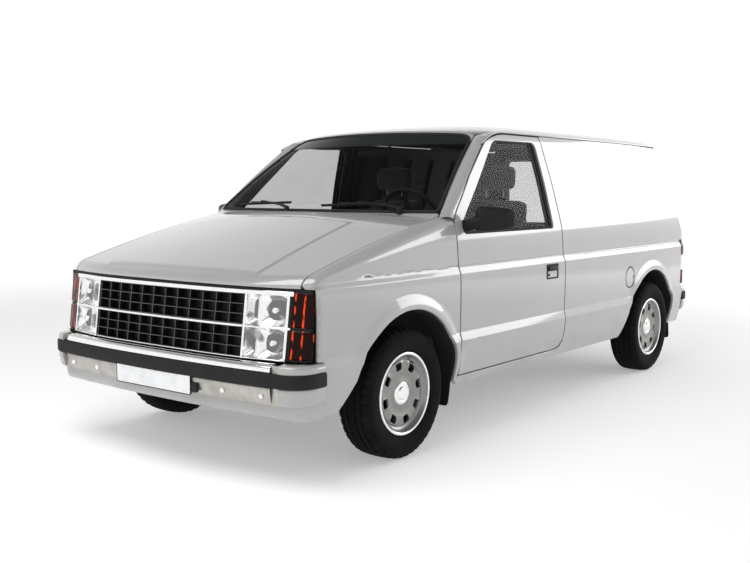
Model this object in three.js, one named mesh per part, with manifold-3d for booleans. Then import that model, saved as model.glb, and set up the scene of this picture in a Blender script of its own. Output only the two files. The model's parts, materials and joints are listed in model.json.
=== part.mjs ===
// A compact panel van: unibody shell, two hinged front doors, bonnet, liftgate, sliding side door,
// steered front wheels on knuckles and a trailing beam axle. Millimetres, +Z up, front towards -Y,
// the van's own left towards +X. The origin is on the ground under the middle of the van.
import * as THREE from "three";
import { mergeVertices } from "three/addons/utils/BufferGeometryUtils.js";
import Module from "manifold-3d";

const wasm = await Module();
wasm.setup();

// ---------------------------------------------------------------- driving dimensions
const LENGTH = 4468;
const NOSE = 2234; // from the front bumper to the frame's origin: a longer van grows at its tail
const BODY_HALF_WIDTH = 872;
const ROOF_HEIGHT = 1640;
const WHEELBASE = 2845;
const FRONT_OVERHANG = 809;
const TRACK_FRONT = 1521;
const TRACK_REAR = 1577;
const TYRE_RADIUS = 310;
const TYRE_WIDTH = 186;
const RIM_RADIUS = 178; // bead seat of a 14 inch wheel
const SHUT_GAP = 8; // round each moving panel
const JOINT_GAP = 0.4; // between pieces that are fixed together
const SKIN = 16; // outer flange of a door, and the thickness of single panels
const WALL = 60; // closed body sides
const DOOR_DEPTH = 80; // a door below its window
const FRAME_DEPTH = 40; // a door frame round its window
const DOOR_STEP = 12; // a door's inner part is smaller than its outer flange by this
const GLASS = 5;

const FRONT = -NOSE;
const REAR = FRONT + LENGTH;
const FRONT_AXLE = FRONT + FRONT_OVERHANG;
const REAR_AXLE = FRONT_AXLE + WHEELBASE;
const AXLE_HEIGHT = TYRE_RADIUS;

// ---------------------------------------------------------------- solids
const clamp = (v, low = 0, high = 1) => Math.min(high, Math.max(low, v));
const lerp = (a, b, t) => a + (b - a) * t;

// A closed three.js geometry as a manifold solid with its faces pointing out.
function solid(geometry) {
  const plain = geometry.index ? geometry.toNonIndexed() : geometry.clone();
  for (const name of Object.keys(plain.attributes)) if (name !== "position") plain.deleteAttribute(name);
  const merged = mergeVertices(plain, 1e-3);
  const vertProperties = new Float32Array(merged.attributes.position.array);
  const triVerts = new Uint32Array(merged.index.array);
  const made = new wasm.Manifold(new wasm.Mesh({ numProp: 3, vertProperties, triVerts }));
  if (made.volume() > 0) return made;
  for (let i = 0; i < triVerts.length; i += 3) {
    [triVerts[i], triVerts[i + 1]] = [triVerts[i + 1], triVerts[i]];
  }
  return new wasm.Manifold(new wasm.Mesh({ numProp: 3, vertProperties, triVerts }));
}

const join = (first, ...rest) => rest.reduce((sum, next) => sum.add(next), first);
const cut = (first, ...tools) => tools.reduce((left, tool) => left.subtract(tool), first);

function geometryOf(manifold) {
  const { numProp, vertProperties, triVerts, numVert } = manifold.getMesh();
  const positions = new Float32Array(numVert * 3);
  for (let i = 0; i < numVert; i++) {
    positions.set(vertProperties.subarray(i * numProp, i * numProp + 3), i * 3);
  }
  const geometry = new THREE.BufferGeometry();
  geometry.setAttribute("position", new THREE.BufferAttribute(positions, 3));
  geometry.setIndex(new THREE.BufferAttribute(new Uint32Array(triVerts), 1));
  geometry.computeVertexNormals();
  return geometry;
}

// A box between two corners.
function box(x0, x1, y0, y1, z0, z1) {
  const geometry = new THREE.BoxGeometry(x1 - x0, y1 - y0, z1 - z0);
  return solid(geometry.translate((x0 + x1) / 2, (y0 + y1) / 2, (z0 + z1) / 2));
}

// An outline swept along one axis: its points are (y, z) along x, (x, z) along y and (x, y) along z.
function prism(axis, points, from, to, holes = []) {
  const shape = new THREE.Shape(points.map(([a, b]) => new THREE.Vector2(a, b)));
  for (const hole of holes) shape.holes.push(new THREE.Path(hole.map(([a, b]) => new THREE.Vector2(a, b))));
  const geometry = new THREE.ExtrudeGeometry(shape, { depth: to - from, bevelEnabled: false, steps: 1 });
  geometry.translate(0, 0, from);
  const columns = { x: [[0, 1, 0], [0, 0, 1], [1, 0, 0]], y: [[1, 0, 0], [0, 0, 1], [0, 1, 0]] }[axis];
  if (columns) {
    const basis = new THREE.Matrix4().makeBasis(...columns.map((c) => new THREE.Vector3(...c)));
    geometry.applyMatrix4(basis);
  }
  return solid(geometry);
}

// A sheet with thickness: place(u, v, w) gives the point, with w = 0 outside and w = 1 inside.
function sheet(us, vs, place) {
  const geometry = new THREE.BoxGeometry(1, 1, 1, us.length - 1, vs.length - 1, 1);
  const p = geometry.attributes.position;
  for (let i = 0; i < p.count; i++) {
    const u = us[Math.round((p.getX(i) + 0.5) * (us.length - 1))];
    const v = vs[Math.round((p.getY(i) + 0.5) * (vs.length - 1))];
    p.setXYZ(i, ...place(u, v, p.getZ(i) > 0 ? 0 : 1));
  }
  return solid(geometry);
}

// A turned solid on the X axis from (radius, x) points.
function turned(profile, segments, x = 0, y = 0, z = 0) {
  const geometry = new THREE.LatheGeometry(profile.map(([r, a]) => new THREE.Vector2(r, a)), segments);
  geometry.rotateZ(-Math.PI / 2);
  return solid(geometry.translate(x, y, z));
}

// A round bar between two points.
function bar(from, to, radius, sides = 10) {
  const a = new THREE.Vector3(...from);
  const b = new THREE.Vector3(...to);
  const geometry = new THREE.CylinderGeometry(radius, radius, a.distanceTo(b), sides);
  const turn = new THREE.Quaternion().setFromUnitVectors(
    new THREE.Vector3(0, 1, 0),
    b.clone().sub(a).normalize(),
  );
  geometry.applyQuaternion(turn);
  const middle = a.add(b).multiplyScalar(0.5);
  return solid(geometry.translate(middle.x, middle.y, middle.z));
}

// A piecewise line through (height, value) stops.
function along(stops, at) {
  if (at <= stops[0][0]) return stops[0][1];
  for (let i = 1; i < stops.length; i++) {
    if (at <= stops[i][0]) {
      const [[a, va], [b, vb]] = [stops[i - 1], stops[i]];
      return lerp(va, vb, (at - a) / (b - a));
    }
  }
  return stops[stops.length - 1][1];
}

const spread = (from, to, count) => Array.from({ length: count + 1 }, (_, i) => lerp(from, to, i / count));

// The outline moved outwards by a distance, or inwards if it is negative. Points run counter-clockwise.
function grown(points, distance) {
  const count = points.length;
  return points.map(([a, b], i) => {
    const [pa, pb] = points[(i + count - 1) % count];
    const [na, nb] = points[(i + 1) % count];
    const before = new THREE.Vector2(b - pb, pa - a).normalize();
    const after = new THREE.Vector2(nb - b, a - na).normalize();
    const middle = before.clone().add(after).normalize();
    const reach = distance / Math.max(0.5, middle.dot(before));
    return [a + middle.x * reach, b + middle.y * reach];
  });
}

// A polygon with its corners rounded: corners are [a, b, radius].
function rounded(corners, steps = 4) {
  const points = [];
  corners.forEach(([a, b, radius], i) => {
    const here = new THREE.Vector2(a, b);
    const before = new THREE.Vector2(...corners[(i + corners.length - 1) % corners.length].slice(0, 2));
    const after = new THREE.Vector2(...corners[(i + 1) % corners.length].slice(0, 2));
    if (!radius) return points.push([a, b]);
    const back = before.sub(here).normalize();
    const on = after.sub(here).normalize();
    const setback = radius / Math.tan(back.angleTo(on) / 2);
    const start = here.clone().addScaledVector(back, setback);
    const end = here.clone().addScaledVector(on, setback);
    const curve = new THREE.QuadraticBezierCurve(start, here, end);
    for (const p of curve.getPoints(steps)) points.push([p.x, p.y]);
  });
  return points;
}

// ---------------------------------------------------------------- body surfaces
const SILL_BOTTOM = 287;
const DOOR_BOTTOM = 334;
const WAIST = 1040; // lower edge of the side windows
const GUTTER = 1577; // where the side meets the roof
const NOSE_BOTTOM = 850; // lower edge of the bonnet's front
const SEAM_X = 778; // the joint between bonnet and wing
const NOSE_LEAN = 0.1326; // the grille leans back by this share of its height
const NOSE_MIDDLE = FRONT + 94; // the bonnet's front edge on the centre line
const NOSE_SWEEP = 90; // how far the nose sweeps back at the corners
const REAR_MIDDLE = REAR - 84; // the tailgate's lower skin on the centre line
const REAR_SWEEP = 82;
const REAR_KNEE = 930; // above it the tailgate leans forward
const REAR_LEAN = 0.44;

// How far the side stands out from, or in from, the plan line, at each height.
const SIDE_PROFILE = [
  [270, -44], [300, -30], [360, -13], [430, -3], [508, 6], [552, -6], [700, -2], [855, -5],
  [880, -17], [WAIST, -32], [1180, -61], [1300, -88], [1450, -129], [1540, -155], [GUTTER, -172],
];

function planHalfWidth(y) {
  const front = clamp((-1400 - y) / 700, 0, 1.2);
  const rear = clamp((y - 1300) / 800, 0, 1.2);
  const straight = BODY_HALF_WIDTH - 22 * front ** 2 - 14 * rear ** 2;
  const ahead = clamp((y - NOSE_MIDDLE) / NOSE_SWEEP, 1e-6, 1);
  return ahead < 1 ? Math.min(straight, (BODY_HALF_WIDTH - 22) * ahead ** 0.3125) : straight;
}

const sideX = (y, z) => planHalfWidth(y) + along(SIDE_PROFILE, z);

// Plan line of the nose at the bonnet's front edge.
const noseY = (x) => NOSE_MIDDLE + NOSE_SWEEP * (Math.abs(x) / (BODY_HALF_WIDTH - 22)) ** 3.2;
const faceY = (x, z) => noseY(x) - (NOSE_BOTTOM - z) * NOSE_LEAN;
const rearY = (x, z) =>
  REAR_MIDDLE - REAR_SWEEP * (Math.abs(x) / 865) ** 2.2 - Math.max(0, z - REAR_KNEE) * REAR_LEAN;

// Height of the bonnet's side joint along the van.
function seamZ(y) {
  const ahead = Math.max(0, -1075 - y);
  return 1128 - 0.175 * ahead - 6.5e-5 * ahead ** 2;
}

const NOSE_ROUND = 55;
// The front edge rolls over: heights above the nose's bottom shrink towards the front.
function rolled(x, y, z) {
  if (z <= NOSE_BOTTOM) return z;
  const into = clamp((noseY(x) + NOSE_ROUND - y) / NOSE_ROUND, 0, 1);
  return NOSE_BOTTOM + (z - NOSE_BOTTOM) * Math.sqrt(1 - into ** 2);
}

function bonnetZ(x, y) {
  const crown = 10 + 45 * clamp((y + 2108) / 700);
  return rolled(x, y, seamZ(y) + crown * (1 - (x / SEAM_X) ** 2));
}

// The wing: the side up to the shoulder, then a quarter ellipse in to the bonnet's joint.
// Its second parameter is a height up to the shoulder, and 0 to 1 over it.
function wingPoint(y, height, over) {
  const top = seamZ(y);
  const rise = lerp(20, 110, clamp((y + 2050) / 975));
  const shoulder = top - rise;
  if (over === 0) {
    const z = Math.min(height, shoulder);
    return [sideX(y, z), y, z];
  }
  const outer = sideX(y, shoulder);
  const angle = (over * Math.PI) / 2;
  const inset = Math.max(0, outer - SEAM_X);
  return [outer - inset * (1 - Math.cos(angle)), y, shoulder + rise * Math.sin(angle)];
}

const ROOF_EDGE = 702;
// Height of the drip rail, which dips over the windscreen pillar, and of the roof along its middle.
const gutterZ = (y) => GUTTER - 52 * clamp((-330 - y) / 230, 0, 1.3) ** 2 - 8 * clamp((y - 900) / 960) ** 2;
const roofMiddle = (y) => ROOF_HEIGHT - 52 * clamp(-y / 620, 0, 1.2) ** 2.5 - 15 * clamp((y - 900) / 960) ** 2;
function roofZ(x, y) {
  const out = Math.abs(x) / ROOF_EDGE;
  const side = 1 - 0.35 * out ** 2.4 - 0.65 * out ** 9;
  const swept = y - 110 * (x / 626) ** 2;
  return gutterZ(y) + (roofMiddle(Math.max(swept, -700)) - gutterZ(y)) * side;
}

// The windscreen's lower and upper edges.
const SCREEN_BASE = { half: 780, middle: -1180, sweep: 120, z: 1150 };
const SCREEN_TOP = { half: 626, middle: -620, sweep: 110 };
const screenBase = (u) => [
  u * SCREEN_BASE.half,
  SCREEN_BASE.middle + SCREEN_BASE.sweep * u * u,
  SCREEN_BASE.z,
];
function screenTop(u) {
  const y = SCREEN_TOP.middle + SCREEN_TOP.sweep * u * u;
  return [u * SCREEN_TOP.half, y, roofZ(u * SCREEN_TOP.half, y) - 8];
}
function screenPoint(u, v, depth = 0) {
  const a = screenBase(u);
  const b = screenTop(u);
  const bulge = 14 * 4 * v * (1 - v);
  const normal = [0, -0.616, 0.788];
  return a.map((value, i) => lerp(value, b[i], v) + normal[i] * (bulge - depth));
}

// ---------------------------------------------------------------- outlines in side view, (y, z)
const DOOR_FRONT = -995;
const DOOR_REAR = 120;
const TOP = GUTTER - 10;
// The door's slanted front edge, from the roof down to the wing.
const PILLAR_LINE = [[-399, TOP - 5], [-486, TOP - 24], [-558, 1517], [-779, 1338], [-881, 1236], [-970, 1150]];
const DOOR_OUTLINE = rounded([
  [DOOR_FRONT, DOOR_BOTTOM, 0],
  [DOOR_REAR, DOOR_BOTTOM, 120],
  [DOOR_REAR, WAIST, 0],
  [62, TOP, 0],
  [-330, TOP, 0],
  ...PILLAR_LINE,
  [DOOR_FRONT, 1090, 0],
  [DOOR_FRONT, WAIST, 0],
]);
const WINDOW_OUTLINE = rounded([
  [-938, WAIST, 38],
  [26, WAIST, 22],
  [-6, 1532, 26],
  [-468, 1530, 55],
  [-932, 1096, 30],
], 3);
const SLIDER_FRONT = DOOR_REAR + SHUT_GAP;
const SLIDER_REAR = 985;
const SLIDER_OUTLINE = rounded([
  [SLIDER_FRONT, DOOR_BOTTOM, 60],
  [SLIDER_REAR, DOOR_BOTTOM, 110],
  [SLIDER_REAR, TOP, 30],
  [62 + SHUT_GAP, TOP, 0],
  [SLIDER_FRONT, WAIST, 0],
]);

// A wheel arch: a round opening whose leading edge runs down and forward to the sill.
const ARCH_RADIUS = 400;
function archOutline(centre, radius, lean, bottom = 200) {
  const start = (162 * Math.PI) / 180;
  const points = [];
  for (let i = 0; i <= 14; i++) {
    const angle = lerp(-0.06, start, i / 14);
    points.push([centre + radius * Math.cos(angle), AXLE_HEIGHT + radius * Math.sin(angle)]);
  }
  points.push([centre + radius * Math.cos(start) - lean, bottom]);
  points.push([centre + radius * 0.97, bottom]);
  return points;
}
const FRONT_ARCH = archOutline(FRONT_AXLE, ARCH_RADIUS, 190);
const REAR_ARCH = archOutline(REAR_AXLE + 15, ARCH_RADIUS, 150);

// The flared lip round an arch: a low step that follows the opening.
const FLARE = 12;
function flare(centre, fromY, toY) {
  const inner = archOutline(centre, ARCH_RADIUS - 1, 0, AXLE_HEIGHT - 40).slice(0, 15);
  const outer = archOutline(centre, ARCH_RADIUS + 74, 0).slice(0, 15).reverse();
  const ring = prism("x", [...inner, ...outer], BODY_HALF_WIDTH - 30, BODY_HALF_WIDTH + FLARE - 4);
  return ring.intersect(box(500, 1000, fromY, toY, AXLE_HEIGHT + 20, 900));
}

// ---------------------------------------------------------------- nodes
const paint = { color: 0xe9e9e6, roughness: 0.32, metalness: 0 };
const MATERIALS = {
  paint,
  chrome: { color: 0xd9dbdc, roughness: 0.12, metalness: 1 },
  steel: { color: 0x9b9a96, roughness: 0.4, metalness: 0.9 },
  rubber: { color: 0x1b1b1b, roughness: 0.85, metalness: 0 },
  plastic: { color: 0x232425, roughness: 0.6, metalness: 0 },
  underseal: { color: 0x2b2c2c, roughness: 0.9, metalness: 0 },
  iron: { color: 0x4a4744, roughness: 0.75, metalness: 0.5 },
  glass: { color: 0x2e3432, roughness: 0.05, metalness: 0, transparent: true, opacity: 0.4 },
  lens: { color: 0xe6e9ea, roughness: 0.1, metalness: 0.3 },
  red: { color: 0x9c1408, roughness: 0.15, metalness: 0 },
  seat: { color: 0x4c4f4e, roughness: 0.9, metalness: 0 },
};
for (const name of Object.keys(MATERIALS)) {
  MATERIALS[name] = new THREE.MeshStandardMaterial(MATERIALS[name]);
}

const van = new THREE.Group();
van.name = "panel_van";

function add(name, material, made) {
  const mesh = new THREE.Mesh(geometryOf(made), MATERIALS[material]);
  mesh.name = name;
  van.add(mesh);
  return mesh;
}

// The same piece on the left and, mirrored, on the right.
function addPair(name, material, made) {
  add(name + "_left", material, made);
  add(name + "_right", material, made).scale.x = -1;
}

// A slab of the body's side between two heights: depth is measured inwards.
function sideSlab(ys, zs, from, depthAt) {
  return sheet(ys, zs, (y, z, w) => [sideX(y, z) - from - w * (depthAt(z) - from), y, z]);
}

const SIDE_LEVELS = [280, 300, 360, 430, 508, 552, 700, 855, 880, WAIST, 1180, 1300, 1450, 1540, GUTTER];
const FAR = 1200;

// ---- front doors
const doorYs = [-1010, -700, -350, 0, 135];
const doorDepth = (z) => (z < WAIST - 20 ? DOOR_DEPTH : z < WAIST ? DOOR_DEPTH - 20 : FRAME_DEPTH);
function frontDoor() {
  const levels = SIDE_LEVELS.slice(1);
  const outer = sideSlab(doorYs, levels, 0, () => SKIN).intersect(prism("x", DOOR_OUTLINE, 0, FAR));
  const inner = sideSlab(doorYs, levels, SKIN - 1, doorDepth).intersect(
    prism("x", grown(DOOR_OUTLINE, -DOOR_STEP), 0, FAR),
  );
  return cut(join(outer, inner), prism("x", WINDOW_OUTLINE, 0, FAR));
}
addPair("front_door", "paint", frontDoor());

const GLASS_INSET = 18;
function doorGlass() {
  const pane = sheet(doorYs, [1020, 1180, 1300, 1450, 1560], (y, z, w) => [
    sideX(y, z) - GLASS_INSET - w * GLASS,
    y,
    z,
  ]);
  return pane.intersect(prism("x", grown(WINDOW_OUTLINE, -JOINT_GAP), 0, FAR));
}
addPair("door_glass", "glass", doorGlass());

// ---- door mirrors, on a sail at the front corner of the window
function mirror() {
  const head = sheet(spread(0, 1, 4), spread(0, 1, 4), (u, v, w) => {
    const x = lerp(886, 1058, u);
    const back = -842 + 62 * u;
    const front = back - 105 * Math.sin(Math.PI * lerp(0.2, 0.8, u)) - 10;
    const z = lerp(1048, 1182, v) + (v - 0.5) * -26 * u;
    return [x, w === 0 ? front + 34 * (2 * v - 1) ** 2 : back, z];
  });
  const arm = box(sideX(-890, 1110) + JOINT_GAP, 892, -930, -872, 1060, 1126);
  const lean = solid(new THREE.BoxGeometry(22, 74, 70)).translate([sideX(-880, 1075) + 12, -900, 1086]);
  return cut(
    join(head, arm, lean),
    sheet([-1100, -600], [1000, 1040, 1180, 1250], (y, z, w) => [sideX(y, z) + JOINT_GAP - w * 200, y, z]),
  );
}
addPair("door_mirror", "plastic", mirror());

// ---- front wings
const WING_REAR = DOOR_FRONT - SHUT_GAP;
const WING_FRONT = -2052; // behind the turn signal
const BUMPER_END = -2016;
function wing() {
  const ys = [-2071, -2064, -2052, -2030, -1990, -1900, -1750, -1600, -1425, -1250, -1120, WING_REAR];
  const rows = [280, 300, 360, 430, 508, 552, 700, 850, 872, 0.22, 0.45, 0.7, 1];
  const shell = sheet(ys, rows, (y, row, w) => {
    const point = row > 1 ? wingPoint(y, row, 0) : wingPoint(y, 0, row);
    const [x, , z] = point;
    const slope = row > 1 ? 0 : row * 0.8;
    const inward = w * SKIN;
    const level = rolled(x, y, z);
    return [x - inward * (1 - slope), y, level - inward * slope - (row > 1 ? 0 : w * 2)];
  });
  const lamp = box(600, FAR, -2300, WING_FRONT, 200, NOSE_BOTTOM + 1);
  const bumper = box(600, FAR, -2300, BUMPER_END, 200, 545);
  const foot = box(600, FAR, -2300, 2300, 200, SILL_BOTTOM + 13);
  const arch = prism("x", FRONT_ARCH, 0, FAR);
  const seam = box(0, SEAM_X + SHUT_GAP / 2, -2300, -900, 600, 1300);
  const lip = flare(FRONT_AXLE, -2000, WING_REAR).intersect(
    sheet([-2000, -1002], [300, 430, 508, 552, 700, 820], (y, z, w) => [sideX(y, z) + FLARE - w * 40, y, z]),
  );
  return cut(join(shell, lip), lamp, bumper, foot, arch, seam, box(600, FAR, WING_REAR, 0, 0, 1300));
}
addPair("front_wing", "paint", wing());

// ---- bonnet
const BONNET_REAR_MIDDLE = -1268;
const BONNET_REAR_SWEEP = 120;
const bonnetRear = (x) => BONNET_REAR_MIDDLE + BONNET_REAR_SWEEP * (x / SCREEN_BASE.half) ** 2;
const HALF_BONNET = SEAM_X - SHUT_GAP / 2;
const BONNET_DEPTH = 22;
function bonnet() {
  const xs = [-1, -0.85, -0.6, -0.3, 0, 0.3, 0.6, 0.85, 1].map((u) => u * HALF_BONNET);
  const ts = [0, 0.008, 0.025, 0.06, 0.14, 0.3, 0.5, 0.75, 1];
  return sheet(xs, ts, (x, t, w) => {
    const y = lerp(noseY(x) + 0.5, bonnetRear(x), t);
    const z = bonnetZ(x, y);
    const nose = clamp(1 - (y - noseY(x)) / NOSE_ROUND);
    return [x, y + w * BONNET_DEPTH * nose, z - w * BONNET_DEPTH * (1 - 0.82 * nose)];
  });
}
add("bonnet", "paint", bonnet());

// ---- cowl panel between bonnet and windscreen
function cowl() {
  const xs = [-1, -0.66, -0.33, 0, 0.33, 0.66, 1].map((u) => u * (SEAM_X - SHUT_GAP / 2));
  return sheet(xs, [0, 0.5, 1], (x, t, w) => {
    const [, baseY, baseZ] = screenBase(x / SCREEN_BASE.half);
    const y = lerp(bonnetRear(x) + SHUT_GAP, baseY - 3, t);
    return [x, y, lerp(bonnetZ(x, bonnetRear(x)), baseZ - 4, t) - 4 * Math.sin(Math.PI * t) - w * 18];
  });
}
add("cowl_panel", "paint", cowl());

// ---- windscreen
const screenUs = spread(-0.985, 0.985, 8);
add("windscreen", "glass", sheet(screenUs, spread(0.012, 0.985, 4), (u, v, w) => screenPoint(u, v, w * GLASS)));

// ---- wipers, resting along the bottom of the windscreen
function wiper(pivotX, armTip, bladeFrom, bladeTo) {
  const u = (x) => x / SCREEN_BASE.half;
  const [, pivotY] = screenBase(u(pivotX));
  const pivot = [pivotX, pivotY - 22, SCREEN_BASE.z];
  const blade = spread(bladeFrom, bladeTo, 3).map((x, i) => screenPoint(u(x), 0.055 + 0.012 * (3 - i), -9));
  const tip = screenPoint(u(armTip), 0.075, -17);
  const rods = blade.slice(1).map((point, i) => bar(blade[i], point, 6, 6));
  return join(
    bar(pivot, [pivotX, pivotY - 20, SCREEN_BASE.z + 18], 11, 8),
    bar([pivotX, pivotY - 21, SCREEN_BASE.z + 13], tip, 6, 6),
    bar(tip, screenPoint(u(armTip), 0.07, -7), 5, 6),
    ...rods,
  );
}
add("wiper_left", "plastic", wiper(585, 330, 560, 90));
add("wiper_right", "plastic", wiper(-124, -380, -150, -600));

// ---- roof
const ROOF_DEPTHS = [[600, 26], [640, 18], [662, 7], [700, 4]]; // thinner towards the drip rail
const roofFront = (x) => SCREEN_TOP.middle + 6 + SCREEN_TOP.sweep * (x / SCREEN_TOP.half) ** 2;
const roofRear = (x) => rearY(x, 1600) - 22;
function roof(raised = 0, gap = 0) {
  const edge = ROOF_EDGE - 2 + gap;
  const xs = [-edge, -688, -655, -600, -400, 0, 400, 600, 655, 688, edge];
  return sheet(xs, [0, 0.06, 0.14, 0.25, 0.45, 0.7, 0.9, 1], (x, t, w) => {
    const front = lerp(roofFront(x), -440, clamp((Math.abs(x) - 600) / 100)) - gap;
    const y = lerp(front, roofRear(x), t);
    const top = roofZ(x, y);
    return [x, y, w ? top - along(ROOF_DEPTHS, Math.abs(x)) - gap : top + raised];
  });
}
add("roof_panel", "paint", roof());

// ---- body sides: windscreen pillar, hinge pillar, cant rail, sill and rear quarter in one frame
const FLOOR_REAR = REAR - 194;
const QUARTER_REAR = REAR - 168;
const LAMP_BOTTOM = 562;
const LAMP_TOP = 894;
const ROOF_GAP = 4.6;
// The windscreen pillar, between the glass and the door's slanted edge.
function pillar() {
  const line = grown([[DOOR_FRONT, 1080], [-330, 1080], [-330, TOP], ...PILLAR_LINE], SHUT_GAP).slice(3);
  return sheet([0, 1], spread(0, line.length - 1, line.length - 1), (across, row, w) => {
    const [y, z] = line[line.length - 1 - row];
    const screen = screenPoint(1.006, clamp((z - SCREEN_BASE.z) / 412, 0, 0.985));
    if (across) return [sideX(y, z) - w * 52, y + w * 3, z - w * 3];
    return [screen[0] - w * 14, screen[1] + w * 34, screen[2] - w * 26];
  });
}
function bodyShell(openings) {
  const ys = [WING_REAR - 40, 100, 700, 1100, 1420, 1750, QUARTER_REAR - 116, QUARTER_REAR];
  const wall = sideSlab(ys, SIDE_LEVELS, 0, () => WALL);
  const gate = [
    [QUARTER_REAR - 3, 200], [QUARTER_REAR - 3, REAR_KNEE], [rearY(690, GUTTER) - 14, GUTTER + 1],
    [3000, GUTTER + 1], [3000, 200],
  ];
  const above = [...spread(-330, -600, 4), REAR - 134].map((y) => [y, gutterZ(Math.min(y, 1800)) - ROOF_GAP]);
  above.sort((a, b) => a[0] - b[0]);
  const ahead = [[-1200, 1060], [DOOR_FRONT + 20, 1080], [-952, 1150], ...PILLAR_LINE.slice(0, -1).reverse()];
  return cut(
    join(wall, flare(REAR_AXLE + 15, 1000, QUARTER_REAR - 30)),
    ...openings.map((outline) => prism("x", outline, 0, FAR)),
    prism("x", gate, 0, FAR),
    prism("x", [...above, [REAR - 134, 1900], [-600, 1900]], 0, FAR),
    prism("x", [...ahead, [-399, 1900], [-1200, 1900]], 0, FAR),
    box(0, FAR, -1200, WING_REAR + SHUT_GAP + 1, 0, 2000),
    prism("x", REAR_ARCH, 0, FAR),
    box(700, FAR, QUARTER_REAR - 60, REAR + 66, LAMP_BOTTOM, LAMP_TOP),
    box(0, FAR, QUARTER_REAR - 40, REAR + 66, 0, LAMP_BOTTOM),
    box(0, FAR, -2000, REAR + 66, 0, SILL_BOTTOM),
  );
}
function sideFrame(openings) {
  const hinge = box(768, 800, WING_REAR - 62, WING_REAR - 6, SILL_BOTTOM + 20, 1000);
  const scuttle = box(742, 779, WING_REAR - 56, WING_REAR - 6, 980, 1146);
  const sill = box(726, 804, WING_REAR - 62, 1000, SILL_BOTTOM + 1, DOOR_BOTTOM - 9);
  const cant = prism("x", [[-478, 1500], [1690, 1512], [1660, 1556], [-400, 1556], [-478, 1540]], 600, 640);
  const postLevels = [SILL_BOTTOM + 20, ...SIDE_LEVELS.filter((z) => z > 340 && z < 1500), 1550];
  const post = sheet([64, 170], postLevels, (y, z, w) => [sideX(y, z) - doorDepth(z) - 8 - w * 36, y, z]);
  const rib = sheet([1480, 1640], [1500, 1548], (y, z, w) => [sideX(y, z) - 20 - w * 130, y, z]);
  const bridge = box(600, 652, 64, 170, 1500, 1546);
  const frame = join(bodyShell(openings), pillar(), hinge, scuttle, sill, cant, post, rib, bridge);
  return cut(frame, roof(100, 2.4));
}
const doorHole = grown(DOOR_OUTLINE, SHUT_GAP);
const sliderHole = grown(SLIDER_OUTLINE, JOINT_GAP + 3).map(([y, z]) => [y, z > TOP ? GUTTER + 20 : z]);

// ---- fuel door, in a pocket of the left quarter
const FUEL = { y: 1062, z: 682, radius: 65, thickness: 10, pocket: 34 };
function fuelDisc(radius, from, depth) {
  const x = sideX(FUEL.y, FUEL.z);
  const geometry = new THREE.CylinderGeometry(radius, radius, depth, 28);
  geometry.rotateZ(Math.PI / 2);
  return solid(geometry.translate(x - from - depth / 2, FUEL.y, FUEL.z));
}
const pocket = fuelDisc(FUEL.radius + SHUT_GAP - 1, -30, FUEL.pocket + 30);
const leftSide = cut(sideFrame([doorHole]), pocket);
add("body_side_left", "paint", leftSide);
const rightSide = add("body_side_right", "paint", sideFrame([doorHole, sliderHole]));
rightSide.scale.x = -1;
add("fuel_door", "paint", fuelDisc(FUEL.radius, 1, FUEL.thickness));

function slidingDoor() {
  const ys = [DOOR_REAR, 400, 700, 1000];
  const levels = SIDE_LEVELS.slice(1);
  return sideSlab(ys, levels, 0, (z) => (z < WAIST ? WALL : FRAME_DEPTH)).intersect(
    prism("x", SLIDER_OUTLINE, 0, FAR),
  );
}
add("sliding_door", "paint", slidingDoor()).scale.x = -1;

// ---- floor, with rails under it and the rear wheel houses
const FLOOR_Z = 340;
const FLOOR_TOP = 372;
const FLOOR_HALF = 704;
const HOUSE_X = 600;
function floorPan() {
  const deck = box(-FLOOR_HALF, FLOOR_HALF, -1060, FLOOR_REAR, FLOOR_Z, FLOOR_TOP);
  const parts = [deck];
  const holes = [];
  for (const side of [-1, 1]) {
    const x = (a, b) => (side < 0 ? [-b, -a] : [a, b]);
    parts.push(box(...x(430, 500), -1060, FLOOR_REAR, 262, FLOOR_Z + 2));
    const house = (grow) => prism("x", archOutline(REAR_AXLE + 15, 402 + grow, 0), ...x(HOUSE_X - grow, 764));
    parts.push(house(14).intersect(box(-FAR, FAR, -3000, 3000, FLOOR_Z, 2000)));
    holes.push(house(0));
  }
  const cross = box(-500, 500, 900, 960, 300, FLOOR_Z + 2);
  holes.push(box(-510, 510, REAR_AXLE - 75, REAR_AXLE + 75, 200, FLOOR_Z - 3));
  const tail = box(-FLOOR_HALF, FLOOR_HALF, FLOOR_REAR - 40, FLOOR_REAR, FLOOR_Z, 548);
  return cut(join(...parts, cross, tail), ...holes);
}
add("floor_pan", "underseal", floorPan());

// ---- firewall, inner wings and front rails
const APRON_X = 452;
const TOE_X = 540;
const TOE_Y = -1080;
const TOE_TOP = 470;
function frontStructure() {
  const firewall = box(-760, 760, -1104, -1078, 330, 1096);
  const foot = box(-720, 720, -1106, -1062, 330, FLOOR_TOP);
  const sweeps = [];
  const parts = [];
  for (const side of [-1, 1]) {
    const x = (a, b) => (side < 0 ? [-b, -a] : [a, b]);
    // Room for the steered tyre: the toe board steps back outside the rails, below TOE_TOP.
    sweeps.push(box(...x(TOE_X, FAR), -1200, TOE_Y, 0, TOE_TOP));
    parts.push(box(...x(TOE_X - 6, 760), TOE_Y, TOE_Y + 26, FLOOR_TOP + JOINT_GAP, TOE_TOP + 6));
    parts.push(prism("x", [[-2030, 560], [-1090, 560], [-1090, 1040], [-2000, 830]], ...x(APRON_X, 468)));
    parts.push(box(...x(410, 470), -2070, -1090, 470, 562));
    parts.push(box(...x(460, 640), -1500, -1350, 858, 874));
    parts.push(box(...x(452, 468), -2040, -1980, 780, 816));
  }
  const support = box(-468, 468, -2040, -2022, 796, 816);
  return join(cut(join(firewall, foot), ...sweeps), ...parts, support);
}
add("front_structure", "underseal", frontStructure());

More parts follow.
